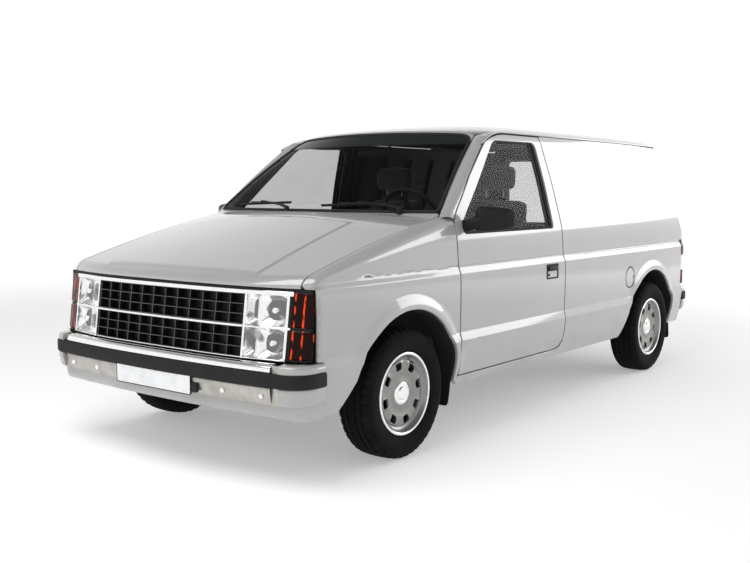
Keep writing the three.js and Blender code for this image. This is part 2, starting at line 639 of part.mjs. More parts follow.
// ---- nose panel: lamp carrier, radiator opening and air dam
const LAMP_INNER = 508;
const LAMP_OUTER = 728;
const GRILLE_TOP = 824;
const GRILLE_BOTTOM = 546;
function nosePanel() {
  const xs = [-770, -700, -500, 0, 500, 700, 770];
  const carrier = sheet(xs, [430, 838], (x, z, w) => [x, faceY(x, z) + 62 + 22 * w, z]);
  const mouth = box(-460, 460, -2400, -1900, GRILLE_BOTTOM + 20, GRILLE_TOP - 30);
  const dam = sheet(
    [-1, -0.94, -0.8, -0.5, 0, 0.5, 0.8, 0.94, 1],
    [296, 330, 364],
    (u, z, w) => {
      const turn = clamp((Math.abs(u) - 0.8) / 0.2);
      const x = Math.sign(u) * lerp(Math.abs(u) * 950, 851, turn ** 0.5);
      const under = -12 * ((364 - z) / 68) ** 2;
      const y = turn > 0 ? lerp(-2128, BUMPER_END - 8, turn ** 2) : lerp(-2168, -2128, Math.abs(u) / 0.8);
      const inward = w * SKIN;
      return [x + Math.sign(u) * (under - inward) * turn, y - under * (1 - turn) + inward * (1 - turn), z];
    },
  );
  const stays = [-1, 1].map((side) => box(side * 350 - 50, side * 350 + 50, -2152, -2114, 340, 440));
  return join(cut(carrier, mouth), dam, ...stays);
}
add("nose_panel", "paint", nosePanel());

// ---- grille: a frame of slats and bars
function grille() {
  const half = LAMP_INNER - 4;
  const columns = 6;
  const rows = 4;
  const holes = [];
  for (let i = 0; i < columns; i++) {
    for (let j = 0; j < rows; j++) {
      const pitchX = (2 * half - 12) / columns;
      const pitchZ = (GRILLE_TOP - GRILLE_BOTTOM - 28) / rows;
      const x = -half + 6 + pitchX * i;
      const z = GRILLE_BOTTOM + 8 + pitchZ * j;
      holes.push([[x + 6, z + 5], [x + pitchX - 6, z + 5], [x + pitchX - 6, z + pitchZ - 5], [x + 6, z + pitchZ - 5]]);
    }
  }
  const slab = box(-half, half, 0, 30, GRILLE_BOTTOM, GRILLE_TOP);
  const flat = cut(slab, ...holes.map((hole) => prism("y", hole, -10, 40)));
  return flat.warp((p) => {
    p[1] += faceY(p[0], p[2]) - 2;
  });
}
add("grille", "plastic", grille());

// ---- front lamps: twin stacked headlamps in one bezel, and the turn signal round the corner
function headlamp() {
  return sheet([LAMP_INNER, 620, LAMP_OUTER], [GRILLE_BOTTOM, 683, GRILLE_TOP], (x, z, w) => [
    x,
    faceY(x, z) + w * 58,
    z,
  ]);
}
addPair("headlamp", "lens", headlamp());

function turnSignal() {
  const middle = 683;
  const corner = [sideX(WING_FRONT, middle) - 3, WING_FRONT - 1];
  const face = [LAMP_OUTER + 2, 762, 800, 826].map((x) => [x, faceY(x, middle)]);
  const [, end] = face[face.length - 1];
  const bend = new THREE.QuadraticBezierCurve(
    new THREE.Vector2(826, end),
    new THREE.Vector2(corner[0], lerp(end, corner[1], 0.3)),
    new THREE.Vector2(...corner),
  );
  const outline = [
    ...face, ...bend.getPoints(5).slice(1).map((p) => [p.x, p.y]),
    [corner[0] - 30, corner[1]], [786, corner[1]], [776, corner[1] - 14], [LAMP_OUTER + 2, corner[1] - 20],
  ];
  return prism("z", outline, GRILLE_BOTTOM, 846).warp((p) => {
    const ahead = clamp((WING_FRONT - p[1]) / 40);
    p[1] += (p[2] - middle) * NOSE_LEAN * ahead;
  });
}
addPair("turn_signal", "red", turnSignal());

// ---- bumpers: a pressed beam whose ends wrap round the corners
function bumper(end, wrap, corner, bottom, top, depth) {
  const half = 748;
  const middle = end;
  const sign = Math.sign(end);
  const us = [-1.5, -1.25, -1.08, -1, -0.5, 0, 0.5, 1, 1.08, 1.25, 1.5];
  const levels = [bottom, bottom + 70, bottom + 76, top - 52, top - 46, top - 8, top];
  return sheet(us, levels, (u, z, w) => {
    const side = Math.sign(u) || 1;
    const out = Math.abs(u);
    const strip = z > bottom + 72 && z < top - 48 ? 9 : 0;
    const roll = z >= top ? 22 : z <= bottom ? 10 : 0;
    const inward = w * depth + (1 - w) * (9 - strip + roll);
    if (out <= 1) {
      const y = middle - sign * (39 * out ** 2.4) - sign * inward;
      return [side * out * half, y, z];
    }
    const turn = (out - 1) / 0.5;
    const arc = clamp(turn * 2) * (Math.PI / 2);
    const x = half + corner * Math.sin(arc) - inward * Math.sin(arc);
    const startY = middle - sign * 39;
    const past = turn > 0.5 ? ((turn - 0.5) / 0.5) * (wrap - corner) : 0;
    const y = startY - sign * corner * (1 - Math.cos(arc)) - sign * past - sign * inward * Math.cos(arc);
    return [side * x, y, z];
  });
}
add("front_bumper", "chrome", bumper(FRONT, 176, 124, 366, 541, 40));
add("rear_bumper", "chrome", bumper(REAR, 158, 120, 366, 541, 40));

// ---- liftgate with its window
const GATE_BOTTOM = 556;
// Half widths up one side, then the top edge just under the roof's line.
const GATE_SIDE = [[757, GATE_BOTTOM + 20], [757, LAMP_TOP], [766, REAR_KNEE], [700, 1300], [660, 1450], [628, 1585]];
const GATE_TOP_EDGE = spread(600, -600, 8).map((x) => [x, roofZ(x, 1820) - SHUT_GAP]);
const mirrored = (points) => points.map(([x, z]) => [-x, z]).reverse();
const GATE_OUTLINE = [
  [-740, GATE_BOTTOM], [740, GATE_BOTTOM], ...GATE_SIDE, ...GATE_TOP_EDGE, ...mirrored(GATE_SIDE),
];
const GATE_WINDOW = rounded([[-655, 985, 50], [655, 985, 50], [545, 1500, 60], [-545, 1500, 60]], 3);
const gateXs = [-780, -600, -400, -200, 0, 200, 400, 600, 780];
function gateSlab(levels, from, to) {
  return sheet(gateXs, levels, (x, z, w) => [x, rearY(x, z) - lerp(from, to, w), z]);
}
function liftgate() {
  const roofEnd = sheet(gateXs, [1400, 1700], (x, z, w) => [x, roofRear(x) + SHUT_GAP - w * 400, z]);
  const levels = [540, REAR_KNEE - 70, REAR_KNEE, REAR_KNEE + 60, 1300, 1640];
  const outer = gateSlab(levels, 0, 18).intersect(prism("y", GATE_OUTLINE, 1000, 3000));
  const inner = gateSlab(levels, 17, 62).intersect(prism("y", grown(GATE_OUTLINE, -10), 1000, 3000));
  return cut(join(outer, inner), prism("y", GATE_WINDOW, 1000, 3000), roofEnd);
}
add("liftgate", "paint", liftgate());
add(
  "liftgate_glass",
  "glass",
  gateSlab([975, 1150, 1350, 1520], 8, 8 + GLASS).intersect(
    prism("y", grown(GATE_WINDOW, -JOINT_GAP), 1000, 3000),
  ),
);

// ---- tail lamps on the rear corners
function tailLamp() {
  const xs = [766, 800, 830, 850];
  return sheet(xs, [LAMP_BOTTOM + 4, 700, LAMP_TOP - 4], (x, z, w) => {
    const limit = sideX(QUARTER_REAR - 30, z) - 2;
    const out = x === 850 ? limit : x;
    const back = x === 850 ? QUARTER_REAR - 12 : rearY(out, z) - 4;
    return [out - (x === 850 ? w * 4 : 0), w ? QUARTER_REAR - 56 : back, z];
  });
}
addPair("tail_lamp", "red", tailLamp());

// ---- cabin: dashboard with steering column, seats
const DRIVER_X = 385;
const WHEEL_HUB = [DRIVER_X, -735, 1098];
const COLUMN_LEAN = 0.5; // radians from level
const columnAxis = [0, Math.cos(COLUMN_LEAN), Math.sin(COLUMN_LEAN)];
const onColumn = (distance) => WHEEL_HUB.map((value, i) => value + columnAxis[i] * distance);
function dashboard() {
  const section = [[-1060, 720], [-860, 720], [-800, 860], [-812, 1060], [-860, 1112], [-1060, 1126]];
  const body = prism("x", section, -700, 700);
  return join(body, bar(onColumn(-330), onColumn(-42), 30));
}
add("dashboard", "plastic", dashboard());

function steeringWheel() {
  const rim = new THREE.TorusGeometry(186, 14, 8, 28);
  const hub = new THREE.CylinderGeometry(52, 60, 36, 16).rotateX(Math.PI / 2);
  const pieces = [solid(rim), solid(hub.translate(0, 0, -10))];
  for (const angle of [0.25, Math.PI - 0.25, -Math.PI / 2]) {
    const spoke = new THREE.BoxGeometry(150, 30, 12).translate(112, 0, -6).rotateZ(angle);
    pieces.push(solid(spoke));
  }
  const turn = new THREE.Quaternion().setFromUnitVectors(
    new THREE.Vector3(0, 0, 1),
    new THREE.Vector3(...columnAxis),
  );
  const matrix = new THREE.Matrix4().compose(
    new THREE.Vector3(...WHEEL_HUB),
    turn,
    new THREE.Vector3(1, 1, 1),
  );
  return solid(geometryOf(join(...pieces)).applyMatrix4(matrix));
}
add("steering_wheel", "plastic", steeringWheel());

const SEAT_HALF = 255;
function seat(x) {
  const cushion = rounded([[-360, 560, 30], [110, 540, 20], [110, 650, 30], [-370, 700, 40]], 2);
  const back = rounded([[20, 640, 20], [105, 620, 20], [190, 1225, 40], [90, 1235, 40]], 3);
  const rest = rounded([[70, 1255, 20], [160, 1255, 20], [168, 1408, 30], [88, 1412, 30]], 2);
  return join(
    prism("x", cushion, x - SEAT_HALF, x + SEAT_HALF),
    prism("x", back, x - SEAT_HALF, x + SEAT_HALF),
    prism("x", rest, x - 140, x + 140),
    bar([x - 60, 128, 1200], [x - 60, 122, 1300], 7, 6),
    bar([x + 60, 128, 1200], [x + 60, 122, 1300], 7, 6),
    box(x - 215, x + 215, -300, 80, FLOOR_TOP + JOINT_GAP, 570),
  );
}
add("driver_seat", "seat", seat(DRIVER_X));
add("passenger_seat", "seat", seat(-DRIVER_X));

// ---- engine and transaxle as one block, subframe with arms, exhaust, fuel tank
add("engine_block", "iron", box(-395, 395, -1800, -1330, 330, 800));
const WHEEL_X = TRACK_FRONT / 2;
const REAR_WHEEL_X = TRACK_REAR / 2;
const KNUCKLE_INSET = 120.5; // from the middle of the tyre to the steering axis
const STUB_REACH = 37.5; // from the middle of the tyre to the end of its stub axle
const KNUCKLE_X = WHEEL_X - KNUCKLE_INSET;
const ARM_BOTTOM = AXLE_HEIGHT - 80;
function subframe() {
  const beam = box(-360, 360, -1390, -1280, 262, 310);
  const arms = [];
  for (const side of [-1, 1]) {
    const outline = [
      [side * 340, -1480], [side * 340, -1290], [side * (KNUCKLE_X - 50), -1400], [side * (KNUCKLE_X - 8), -1410],
      [side * (KNUCKLE_X - 8), -1440], [side * (KNUCKLE_X - 50), -1450],
    ];
    arms.push(prism("z", side > 0 ? outline : outline.reverse(), ARM_BOTTOM, ARM_BOTTOM + 26));
    arms.push(box(...(side > 0 ? [320, 380] : [-380, -320]), -1500, -1270, ARM_BOTTOM, 300));
    arms.push(box(...(side > 0 ? [420, 466] : [-466, -420]), -1330, -1290, 280, 469));
  }
  return join(beam, ...arms, box(-466, 466, -1330, -1290, 262, 300));
}
add("front_subframe", "iron", subframe());

const PIPE_DROP = 82; // the exhaust runs this far below the axles and clears the rear beam
function exhaust() {
  const low = AXLE_HEIGHT - PIPE_DROP;
  const route = new THREE.CatmullRomCurve3(
    [[60, -1250, 300], [0, -1150, low + 8], [-40, -700, low], [-40, 500, low], [-150, 900, low + 4]].map(
      (p) => new THREE.Vector3(...p),
    ),
  );
  const section = new THREE.Shape();
  section.absarc(0, 0, 24, 0, 2 * Math.PI);
  const pipe = new THREE.ExtrudeGeometry(section, { steps: 14, extrudePath: route, curveSegments: 5 });
  const muffler = new THREE.CylinderGeometry(92, 92, 470, 16).scale(1, 1, 0.62).translate(-160, 1120, low + 8);
  const tail = bar([-160, 1340, low], [-330, 1560, low], 20);
  return join(solid(pipe), solid(muffler), tail, bar([-330, 1545, low], [-350, REAR - 174, low + 22], 20));
}
add("exhaust", "iron", exhaust());
add(
  "fuel_tank",
  "underseal",
  prism("y", rounded([[60, 226, 40], [400, 226, 40], [400, 334, 20], [60, 334, 20]], 2), 150, 850),
);

// ---- front knuckles: upright with spindle, turning on the ball joint and strut
function knuckle() {
  const upright = rounded(
    [[-37, -48, 10], [37, -48, 10], [45, 110, 20], [25, 178, 10], [-25, 178, 10], [-45, 110, 20]].map(
      ([y, z, radius]) => [FRONT_AXLE + y, AXLE_HEIGHT + z, radius],
    ),
    2,
  );
  const body = prism("x", upright, KNUCKLE_X + 6, KNUCKLE_X + 44);
  const hub = (from, to, radius, sides) => bar([from, FRONT_AXLE, AXLE_HEIGHT], [to, FRONT_AXLE, AXLE_HEIGHT], radius, sides);
  const strut = bar([KNUCKLE_X - 8, FRONT_AXLE, AXLE_HEIGHT + 160], [KNUCKLE_X - 50, FRONT_AXLE + 4, 846], 26, 12);
  const bracket = box(KNUCKLE_X - 20, KNUCKLE_X + 20, FRONT_AXLE - 30, FRONT_AXLE + 30, AXLE_HEIGHT + 140, AXLE_HEIGHT + 200);
  return join(body, hub(KNUCKLE_X + 30, WHEEL_X + STUB_REACH, 30, 16), hub(WHEEL_X - 56.5, WHEEL_X - 34.5, 124, 20), strut, bracket);
}
addPair("knuckle", "iron", knuckle());

function rearAxle() {
  const beam = box(-560, 560, REAR_AXLE - 40, REAR_AXLE + 40, AXLE_HEIGHT - 50, AXLE_HEIGHT - 6);
  const parts = [];
  for (const side of [-1, 1]) {
    const x = (a, b) => (side < 0 ? [-b, -a] : [a, b]);
    parts.push(bar([side * 540, REAR_AXLE, AXLE_HEIGHT], [side * (REAR_WHEEL_X + STUB_REACH), REAR_AXLE, AXLE_HEIGHT], 28, 16));
    parts.push(bar([side * (REAR_WHEEL_X - 68.5), REAR_AXLE, AXLE_HEIGHT], [side * (REAR_WHEEL_X - 12.5), REAR_AXLE, AXLE_HEIGHT], 118, 20));
    parts.push(box(...x(520, 560), REAR_AXLE - 50, REAR_AXLE + 50, AXLE_HEIGHT - 50, AXLE_HEIGHT + 22));
    parts.push(box(...x(516, 562), 880, 1960, AXLE_HEIGHT - 60, AXLE_HEIGHT - 46));
  }
  return join(beam, ...parts);
}
add("rear_axle", "iron", rearAxle());

// ---- wheels
function tyreProfile() {
  const half = TYRE_WIDTH / 2;
  const r = TYRE_RADIUS;
  const wall = r - RIM_RADIUS;
  const side = [
    [RIM_RADIUS + 4, half - 26], [RIM_RADIUS + 19, half - 24], [RIM_RADIUS + wall / 3, half - 2], [r - (wall * 5) / 12, half],
    [r - 16, half - 10], [r, half - 32],
  ];
  return [...side.map(([radius, x]) => [radius, -x]), ...side.reverse(), [RIM_RADIUS + 4, 26 - half]];
}
// A pressed steel wheel: dished centre and barrel. Its x runs outwards.
const WHEEL_PROFILE = [
  [0, 50], [76, 46], [84, 24], [150, 28], [RIM_RADIUS - 12, -72], [RIM_RADIUS + 2, -72],
  [RIM_RADIUS + 2, 71], [RIM_RADIUS + 18, 72], [RIM_RADIUS + 18, 78], [RIM_RADIUS - 6, 80],
  [150, 40], [92, 34], [84, 58], [0, 62],
];
function wheelAt(name, side, track, y) {
  const x = (side * track) / 2;
  const windows = [];
  for (let i = 0; i < 8; i++) {
    const hole = prism("x", rounded([[-22, 112, 6], [22, 112, 6], [27, 146, 8], [-27, 146, 8]], 1), 0, 70);
    windows.push(hole.rotate([(360 / 8) * i, 0, 0]));
  }
  const disc = cut(turned(WHEEL_PROFILE, 24), ...windows);
  const rubber = solid(new THREE.LatheGeometry(
    tyreProfile().map(([r, a]) => new THREE.Vector2(r, a)),
    28,
  ).rotateZ(-Math.PI / 2));
  for (const [label, material, made] of [["tyre", "rubber", rubber], ["wheel", "steel", disc]]) {
    const mesh = add(`${label}_${name}`, material, made);
    mesh.position.set(x, y, AXLE_HEIGHT);
    mesh.scale.x = side;
  }
}
wheelAt("front_left", 1, TRACK_FRONT, FRONT_AXLE);
wheelAt("front_right", -1, TRACK_FRONT, FRONT_AXLE);
wheelAt("rear_left", 1, TRACK_REAR, REAR_AXLE);
wheelAt("rear_right", -1, TRACK_REAR, REAR_AXLE);

export default van;
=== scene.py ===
"""Compact panel van: the looks of its body, cabin, lamps and wheels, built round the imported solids.

Shape functions work in millimetres, in the van's own frame: X to its left, Y to its rear, Z up.
"""

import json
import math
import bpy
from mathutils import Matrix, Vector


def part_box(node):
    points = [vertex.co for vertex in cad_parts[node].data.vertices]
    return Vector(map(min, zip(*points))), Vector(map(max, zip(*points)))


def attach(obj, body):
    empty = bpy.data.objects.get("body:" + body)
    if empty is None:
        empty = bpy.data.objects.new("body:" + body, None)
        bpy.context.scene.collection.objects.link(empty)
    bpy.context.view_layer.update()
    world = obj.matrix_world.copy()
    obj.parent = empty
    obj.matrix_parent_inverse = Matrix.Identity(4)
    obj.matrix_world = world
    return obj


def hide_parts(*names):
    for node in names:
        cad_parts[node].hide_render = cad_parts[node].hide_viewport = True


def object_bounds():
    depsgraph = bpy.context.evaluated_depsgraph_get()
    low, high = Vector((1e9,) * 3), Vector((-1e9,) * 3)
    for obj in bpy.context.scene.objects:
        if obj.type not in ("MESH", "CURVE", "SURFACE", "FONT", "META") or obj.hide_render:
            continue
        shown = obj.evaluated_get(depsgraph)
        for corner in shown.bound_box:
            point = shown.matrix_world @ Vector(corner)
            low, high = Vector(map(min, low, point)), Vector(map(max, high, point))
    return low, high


bl_info = {"name": "Compact Panel Van", "version": (1, 0, 0), "blender": (4, 5, 0),
    "location": "View3D > Sidebar > Van",
    "description": "Builds the bodywork, cabin, lamps and wheels of a compact panel van", "category": "Add Mesh"}

import bmesh
import bpy
import numpy as np
from mathutils import Matrix, Vector
from mathutils.bvhtree import BVHTree
from mathutils.geometry import delaunay_2d_cdt

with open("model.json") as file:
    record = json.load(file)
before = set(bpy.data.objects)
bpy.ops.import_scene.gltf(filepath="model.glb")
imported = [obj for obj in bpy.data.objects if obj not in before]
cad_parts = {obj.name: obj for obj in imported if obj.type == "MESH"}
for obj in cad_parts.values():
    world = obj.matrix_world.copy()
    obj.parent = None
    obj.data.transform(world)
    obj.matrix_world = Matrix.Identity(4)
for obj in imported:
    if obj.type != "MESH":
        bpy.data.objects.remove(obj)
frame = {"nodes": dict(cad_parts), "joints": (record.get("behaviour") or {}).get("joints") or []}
CAD_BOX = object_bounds()
METRE = 1000.0


def span(node):
    """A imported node's lowest and highest corner in millimetres."""
    low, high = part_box(node)
    return low * METRE, high * METRE


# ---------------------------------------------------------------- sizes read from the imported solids
FRONT, REAR = CAD_BOX[0].y * METRE, CAD_BOX[1].y * METRE
TYRE_LOW, TYRE_HIGH = span("tyre_front_left")
REAR_TYRE_LOW, REAR_TYRE_HIGH = span("tyre_rear_left")
TYRE_RADIUS = TYRE_HIGH.z / 2
TYRE_WIDTH = TYRE_HIGH.x - TYRE_LOW.x
FRONT_AXLE = (TYRE_LOW.y + TYRE_HIGH.y) / 2
REAR_AXLE = (REAR_TYRE_LOW.y + REAR_TYRE_HIGH.y) / 2
FRONT_WHEEL_X = (TYRE_LOW.x + TYRE_HIGH.x) / 2
REAR_WHEEL_X = (REAR_TYRE_LOW.x + REAR_TYRE_HIGH.x) / 2
ROOF_HEIGHT = CAD_BOX[1].z * METRE
HALF_WIDTH = 872.0
GAP = 8.0


def clamp(value, low=0.0, high=1.0):
    return min(high, max(low, value))


def lerp(a, b, t):
    return a + (b - a) * t


def smooth(t):
    t = clamp(t)
    return t * t * (3 - 2 * t)


def spread(low, high, count):
    return [lerp(low, high, i / count) for i in range(count + 1)]


def blend_points(a, b, t):
    return [lerp(p, q, t) for p, q in zip(a, b)]


class Curve:
    """A smooth line through (at, value) stops. A stop given a third item keeps a hard corner."""

    def __init__(self, *stops):
        self.at = [s[0] for s in stops]
        self.value = [s[1] for s in stops]
        rise = [(self.value[i + 1] - self.value[i]) / (self.at[i + 1] - self.at[i]) for i in range(len(stops) - 1)]
        self.into, self.out = [rise[0]], [rise[0]]
        for i in range(1, len(stops) - 1):
            a, b = rise[i - 1], rise[i]
            if len(stops[i]) > 2:
                self.into.append(a)
                self.out.append(b)
                continue
            here = (a + b) / 2 if a * b > 0 else 0.0
            if a * b > 0:
                here = math.copysign(min(abs(here), 2.5 * abs(a), 2.5 * abs(b)), a)
            self.into.append(here)
            self.out.append(here)
        self.into.append(rise[-1])
        self.out.append(rise[-1])

    def __call__(self, at):
        stops = self.at
        if at <= stops[0]:
            return self.value[0]
        if at >= stops[-1]:
            return self.value[-1]
        i = next(k for k in range(len(stops) - 1) if at <= stops[k + 1])
        width = stops[i + 1] - stops[i]
        t = (at - stops[i]) / width
        a, b = self.value[i], self.value[i + 1]
        da, db = self.out[i] * width, self.into[i + 1] * width
        return (a * (1 + 2 * t) * (1 - t) ** 2 + da * t * (1 - t) ** 2 + b * t * t * (3 - 2 * t) - db * t * t
            * (1 - t))


# ---------------------------------------------------------------- body surfaces
SILL = 287.0
DOOR_BOTTOM = 334.0
WAIST = 1040.0
GUTTER = 1577.0
BONNET_LIP = 850.0
SEAM_X = 778.0
SCREEN_HALF = 780
SCREEN_FOOT = 1150
SCREEN_SWEEP = 120
SCREEN_UP = (0, -0.616, 0.788)
NOSE_LEAN = 0.1326
NOSE_MIDDLE = FRONT + 94
REAR_MIDDLE = 2150.0
REAR_KNEE = 930.0
ARCH_RADIUS = 400.0
FLARE_STAND = 17.0
FUEL_Y = 1062
FUEL_Z = 682
REAR_ARCH = REAR_AXLE + 15

SIDE = Curve((255, -62), (270, -46), (300, -30), (360, -13), (430, -3), (500, 5), (508, 6, 1), (552, -6, 1),
    (700, -2), (838, -3.5), (846, -4.5, 1), (868, -15, 1), (879, -17, 1), (880.5, -21), (884.5, -21), (886, -18, 1),
    (WAIST, -32), (1180, -61), (1300, -88), (1450, -129), (1540, -155), (GUTTER, -172))
# Heights at which the pressed side needs its own row of points.
SIDE_ROWS = [262, 280, 300, 330, 360, 400, 440, 475, 500, 506, 512, 530, 546, 551, 557, 590, 630, 680, 730, 780, 820,
    840, 845, 850, 857, 863, 867, 871, 876, 879, 880.5, 882.5, 884.5, 886, 890, 910, 950, 1000, 1040, 1085, 1130,
    1180, 1230, 1280, 1330, 1380, 1430, 1480, 1520, 1550, 1567]


def plan_half(y):
    front = clamp((-1400 - y) / 700, 0, 1.2)
    rear = clamp((y - 1300) / 800, 0, 1.2)
    straight = HALF_WIDTH - 22 * front**2 - 14 * rear**2
    ahead = clamp((y - NOSE_MIDDLE) / 90, 1e-6, 1)
    return min(straight, (HALF_WIDTH - 22) * ahead**0.3125) if ahead < 1 else straight


def flare(y, z):
    """How far the pressed lip round the nearer wheel arch stands out from the side."""
    centre = FRONT_AXLE if y < 0 else REAR_ARCH
    radius = math.hypot(y - centre, z - TYRE_RADIUS)
    if radius > 500 or z < TYRE_RADIUS - 30:
        return 0.0
    angle = math.degrees(math.atan2(z - TYRE_RADIUS, y - centre))
    outer = 478 - 22 * smooth((60 - angle) / 60)
    fade = smooth((angle - 2) / 22) * smooth((156 - angle) / 30)
    return FLARE_STAND * smooth((outer - radius) / (outer - 414)) * fade


def side_x(y, z):
    return plan_half(y) + SIDE(z) + flare(y, z)


def nose_y(x):
    return NOSE_MIDDLE + 90 * (abs(x) / 850) ** 3.2


def face_y(x, z):
    return nose_y(x) - (BONNET_LIP - z) * NOSE_LEAN


def rear_y(x, z):
    over = z - REAR_KNEE
    bend = over if over > 40 else (over + 40) ** 2 / 160 if over > -40 else 0
    return REAR_MIDDLE - 82 * (abs(x) / 865) ** 2.2 - bend * 0.44


def seam_z(y):
    ahead = max(0, -1075 - y)
    return 1128 - 0.175 * ahead - 6.5e-5 * ahead**2


def bonnet_rear(x):
    return -1268 + SCREEN_SWEEP * (x / SCREEN_HALF) ** 2


BONNET_RUN = 900.0
LIP_RUN = 60.0
LIP_DEPTH = 55.0


def bonnet_raise(x, y):
    """The raised middle of the bonnet."""
    edge = lerp(515, 484, (y + 2060) / 655)
    across = smooth((edge - abs(x)) / 11 + 0.5)
    behind = smooth((-1392 - y) / 26 + 0.5)
    ahead = smooth((y + 2092) / 40)
    return 6.5 * across * behind * ahead


def bonnet_point(x, run):
    """A point on the bonnet: run is 0 at its front edge and BONNET_RUN at the windscreen."""
    if run < LIP_RUN:
        turn = run / LIP_RUN * math.pi / 2
        y = nose_y(x) + LIP_DEPTH * (1 - math.cos(turn))
        rise = math.sin(turn)
    else:
        start = nose_y(x) + LIP_DEPTH
        y = lerp(start, bonnet_rear(x), (run - LIP_RUN) / (BONNET_RUN - LIP_RUN))
        rise = 1.0
    crown = 10 + 45 * clamp((y + 2108) / 700)
    top = seam_z(y) + crown * (1 - (x / SEAM_X) ** 2) + bonnet_raise(x, y)
    return [x, y, BONNET_LIP + (top - BONNET_LIP) * rise]


def bonnet_run(x, y):
    """The run at which the bonnet passes y."""
    start = nose_y(x) + LIP_DEPTH
    return LIP_RUN + (y - start) / (bonnet_rear(x) - start) * (BONNET_RUN - LIP_RUN)


def wing_point(y, row):
    """A point on the front wing: row is a height up to 850, 1000 at the shoulder and 1100 at the bonnet."""
    if row <= 850:
        return [side_x(y, row), y, row]
    top = seam_z(y)
    rise = lerp(20, 110, clamp((y + 2050) / 975))
    shoulder = top - rise
    if row <= 1000:
        z = lerp(850, shoulder, (row - 850) / 150)
        x = side_x(y, z)
    else:
        outer = side_x(y, shoulder)
        angle = (row - 1000) / 100 * math.pi / 2
        x = outer - max(0, outer - SEAM_X) * (1 - math.cos(angle))
        z = shoulder + rise * math.sin(angle)
    into = clamp((nose_y(x) + LIP_DEPTH - y) / LIP_DEPTH)
    return [x, y, BONNET_LIP + (z - BONNET_LIP) * math.sqrt(1 - into**2)]


ROOF_EDGE = 702.0


def gutter_z(y):
    return GUTTER - 52 * clamp((-330 - y) / 230, 0, 1.3) ** 2 - 8 * clamp((y - 900) / 960) ** 2


def roof_middle(y):
    return ROOF_HEIGHT - 52 * clamp(-y / 620, 0, 1.2) ** 2.5 - 15 * clamp((y - 900) / 960) ** 2


def roof_z(x, y):
    out = abs(x) / ROOF_EDGE
    side = 1 - 0.35 * out**2.4 - 0.65 * out**9
    swept = y - 110 * (x / 626) ** 2
    return gutter_z(y) + (roof_middle(max(swept, -700)) - gutter_z(y)) * side


def roof_front(x):
    return -614 + 110 * (x / 626) ** 2


def screen_point(u, v, depth=0.0):
    """The windscreen: u runs from -1 to 1 across it and v from 0 at its base to 1 at the roof."""
    base = [u * SCREEN_HALF, -1180 + SCREEN_SWEEP * u * u, SCREEN_FOOT]
    head_x, head_y = u * 626, -620 + 110 * u * u
    head = [head_x, head_y, roof_z(head_x, head_y) - 8]
    bulge = 56 * v * (1 - v)
    point = blend_points(base, head, v)
    return [p + up * (bulge - depth) for p, up in zip(point, SCREEN_UP)]


# ---------------------------------------------------------------- outlines, in (y, z) or (x, z)
def rounded(corners, steps=6):
    """A polygon whose corners (a, b, radius) are rounded."""
    points = []
    count = len(corners)
    for i, corner in enumerate(corners):
        here = Vector(corner[:2])
        radius = corner[2] if len(corner) > 2 else 0
        if not radius:
            points.append(tuple(here))
            continue
        back = (Vector(corners[i - 1][:2]) - here).normalized()
        on = (Vector(corners[(i + 1) % count][:2]) - here).normalized()
        setback = radius / math.tan(back.angle(on) / 2)
        start, end = here + back * setback, here + on * setback
        for k in range(steps + 1):
            t = k / steps
            points.append(tuple(start.lerp(here, t).lerp(here.lerp(end, t), t)))
    return points


def grown(points, distance):
    """The counter-clockwise outline moved outwards."""
    result = []
    count = len(points)
    for i, (a, b) in enumerate(points):
        pa, pb = points[i - 1]
        na, nb = points[(i + 1) % count]
        before = Vector((b - pb, pa - a)).normalized()
        after = Vector((nb - b, a - na)).normalized()
        middle = (before + after).normalized()
        reach = distance / max(0.5, middle.dot(before))
        result.append((a + middle.x * reach, b + middle.y * reach))
    return result


DOOR_FRONT, DOOR_REAR, DOOR_TOP = -995.0, 120.0, 1567.0
PILLAR_LINE = [(-399, 1562), (-486, 1543), (-558, 1517), (-779, 1338), (-881, 1236), (-970, 1150)]
DOOR_OUTLINE = rounded([(DOOR_FRONT, DOOR_BOTTOM, 10), (DOOR_REAR, DOOR_BOTTOM, 110), (DOOR_REAR, WAIST, 60),
    (62, DOOR_TOP, 14), (-330, DOOR_TOP, 60), (-399, 1562, 20), (-486, 1543, 30), (-558, 1517, 30), (-779, 1338, 60),
    (-881, 1236, 60), (-970, 1150, 50), (DOOR_FRONT, 1090, 40), (DOOR_FRONT, WAIST, 20)])
WINDOW_OUTLINE = rounded([(-938, WAIST, 38), (26, WAIST, 26), (-6, 1532, 46), (-468, 1530, 120), (-932, 1096, 30)])
SLIDER_OUTLINE = rounded([(DOOR_REAR + GAP, DOOR_BOTTOM, 60), (985, DOOR_BOTTOM, 110), (985, DOOR_TOP, 30),
    (62 + GAP, DOOR_TOP, 12), (DOOR_REAR + GAP, WAIST, 60)])


def arch_line(centre, radius, lean, foot, steps=26):
    """A wheel arch from its rear foot over to its front foot, in (y, z)."""
    points = []
    for angle in spread(-3.4, 162, steps):
        turn = math.radians(angle)
        points.append((centre + radius * math.cos(turn), TYRE_RADIUS + radius * math.sin(turn)))
    y, z = points[-1]
    points.append((y - lean * (z - foot) / 233.6, foot))
    points[0] = (points[0][0], foot)
    return points


def arcs(centre, radii, low=4, high=158):
    """Rings of points round a wheel arch, for the lip's curve."""
    return [[(centre + r * math.cos(math.radians(a)), TYRE_RADIUS + r * math.sin(math.radians(a)))
        for a in spread(low, high, 44)] for r in radii]


FLARE_RADII = (407, 414, 424, 436, 448, 460, 470, 480)


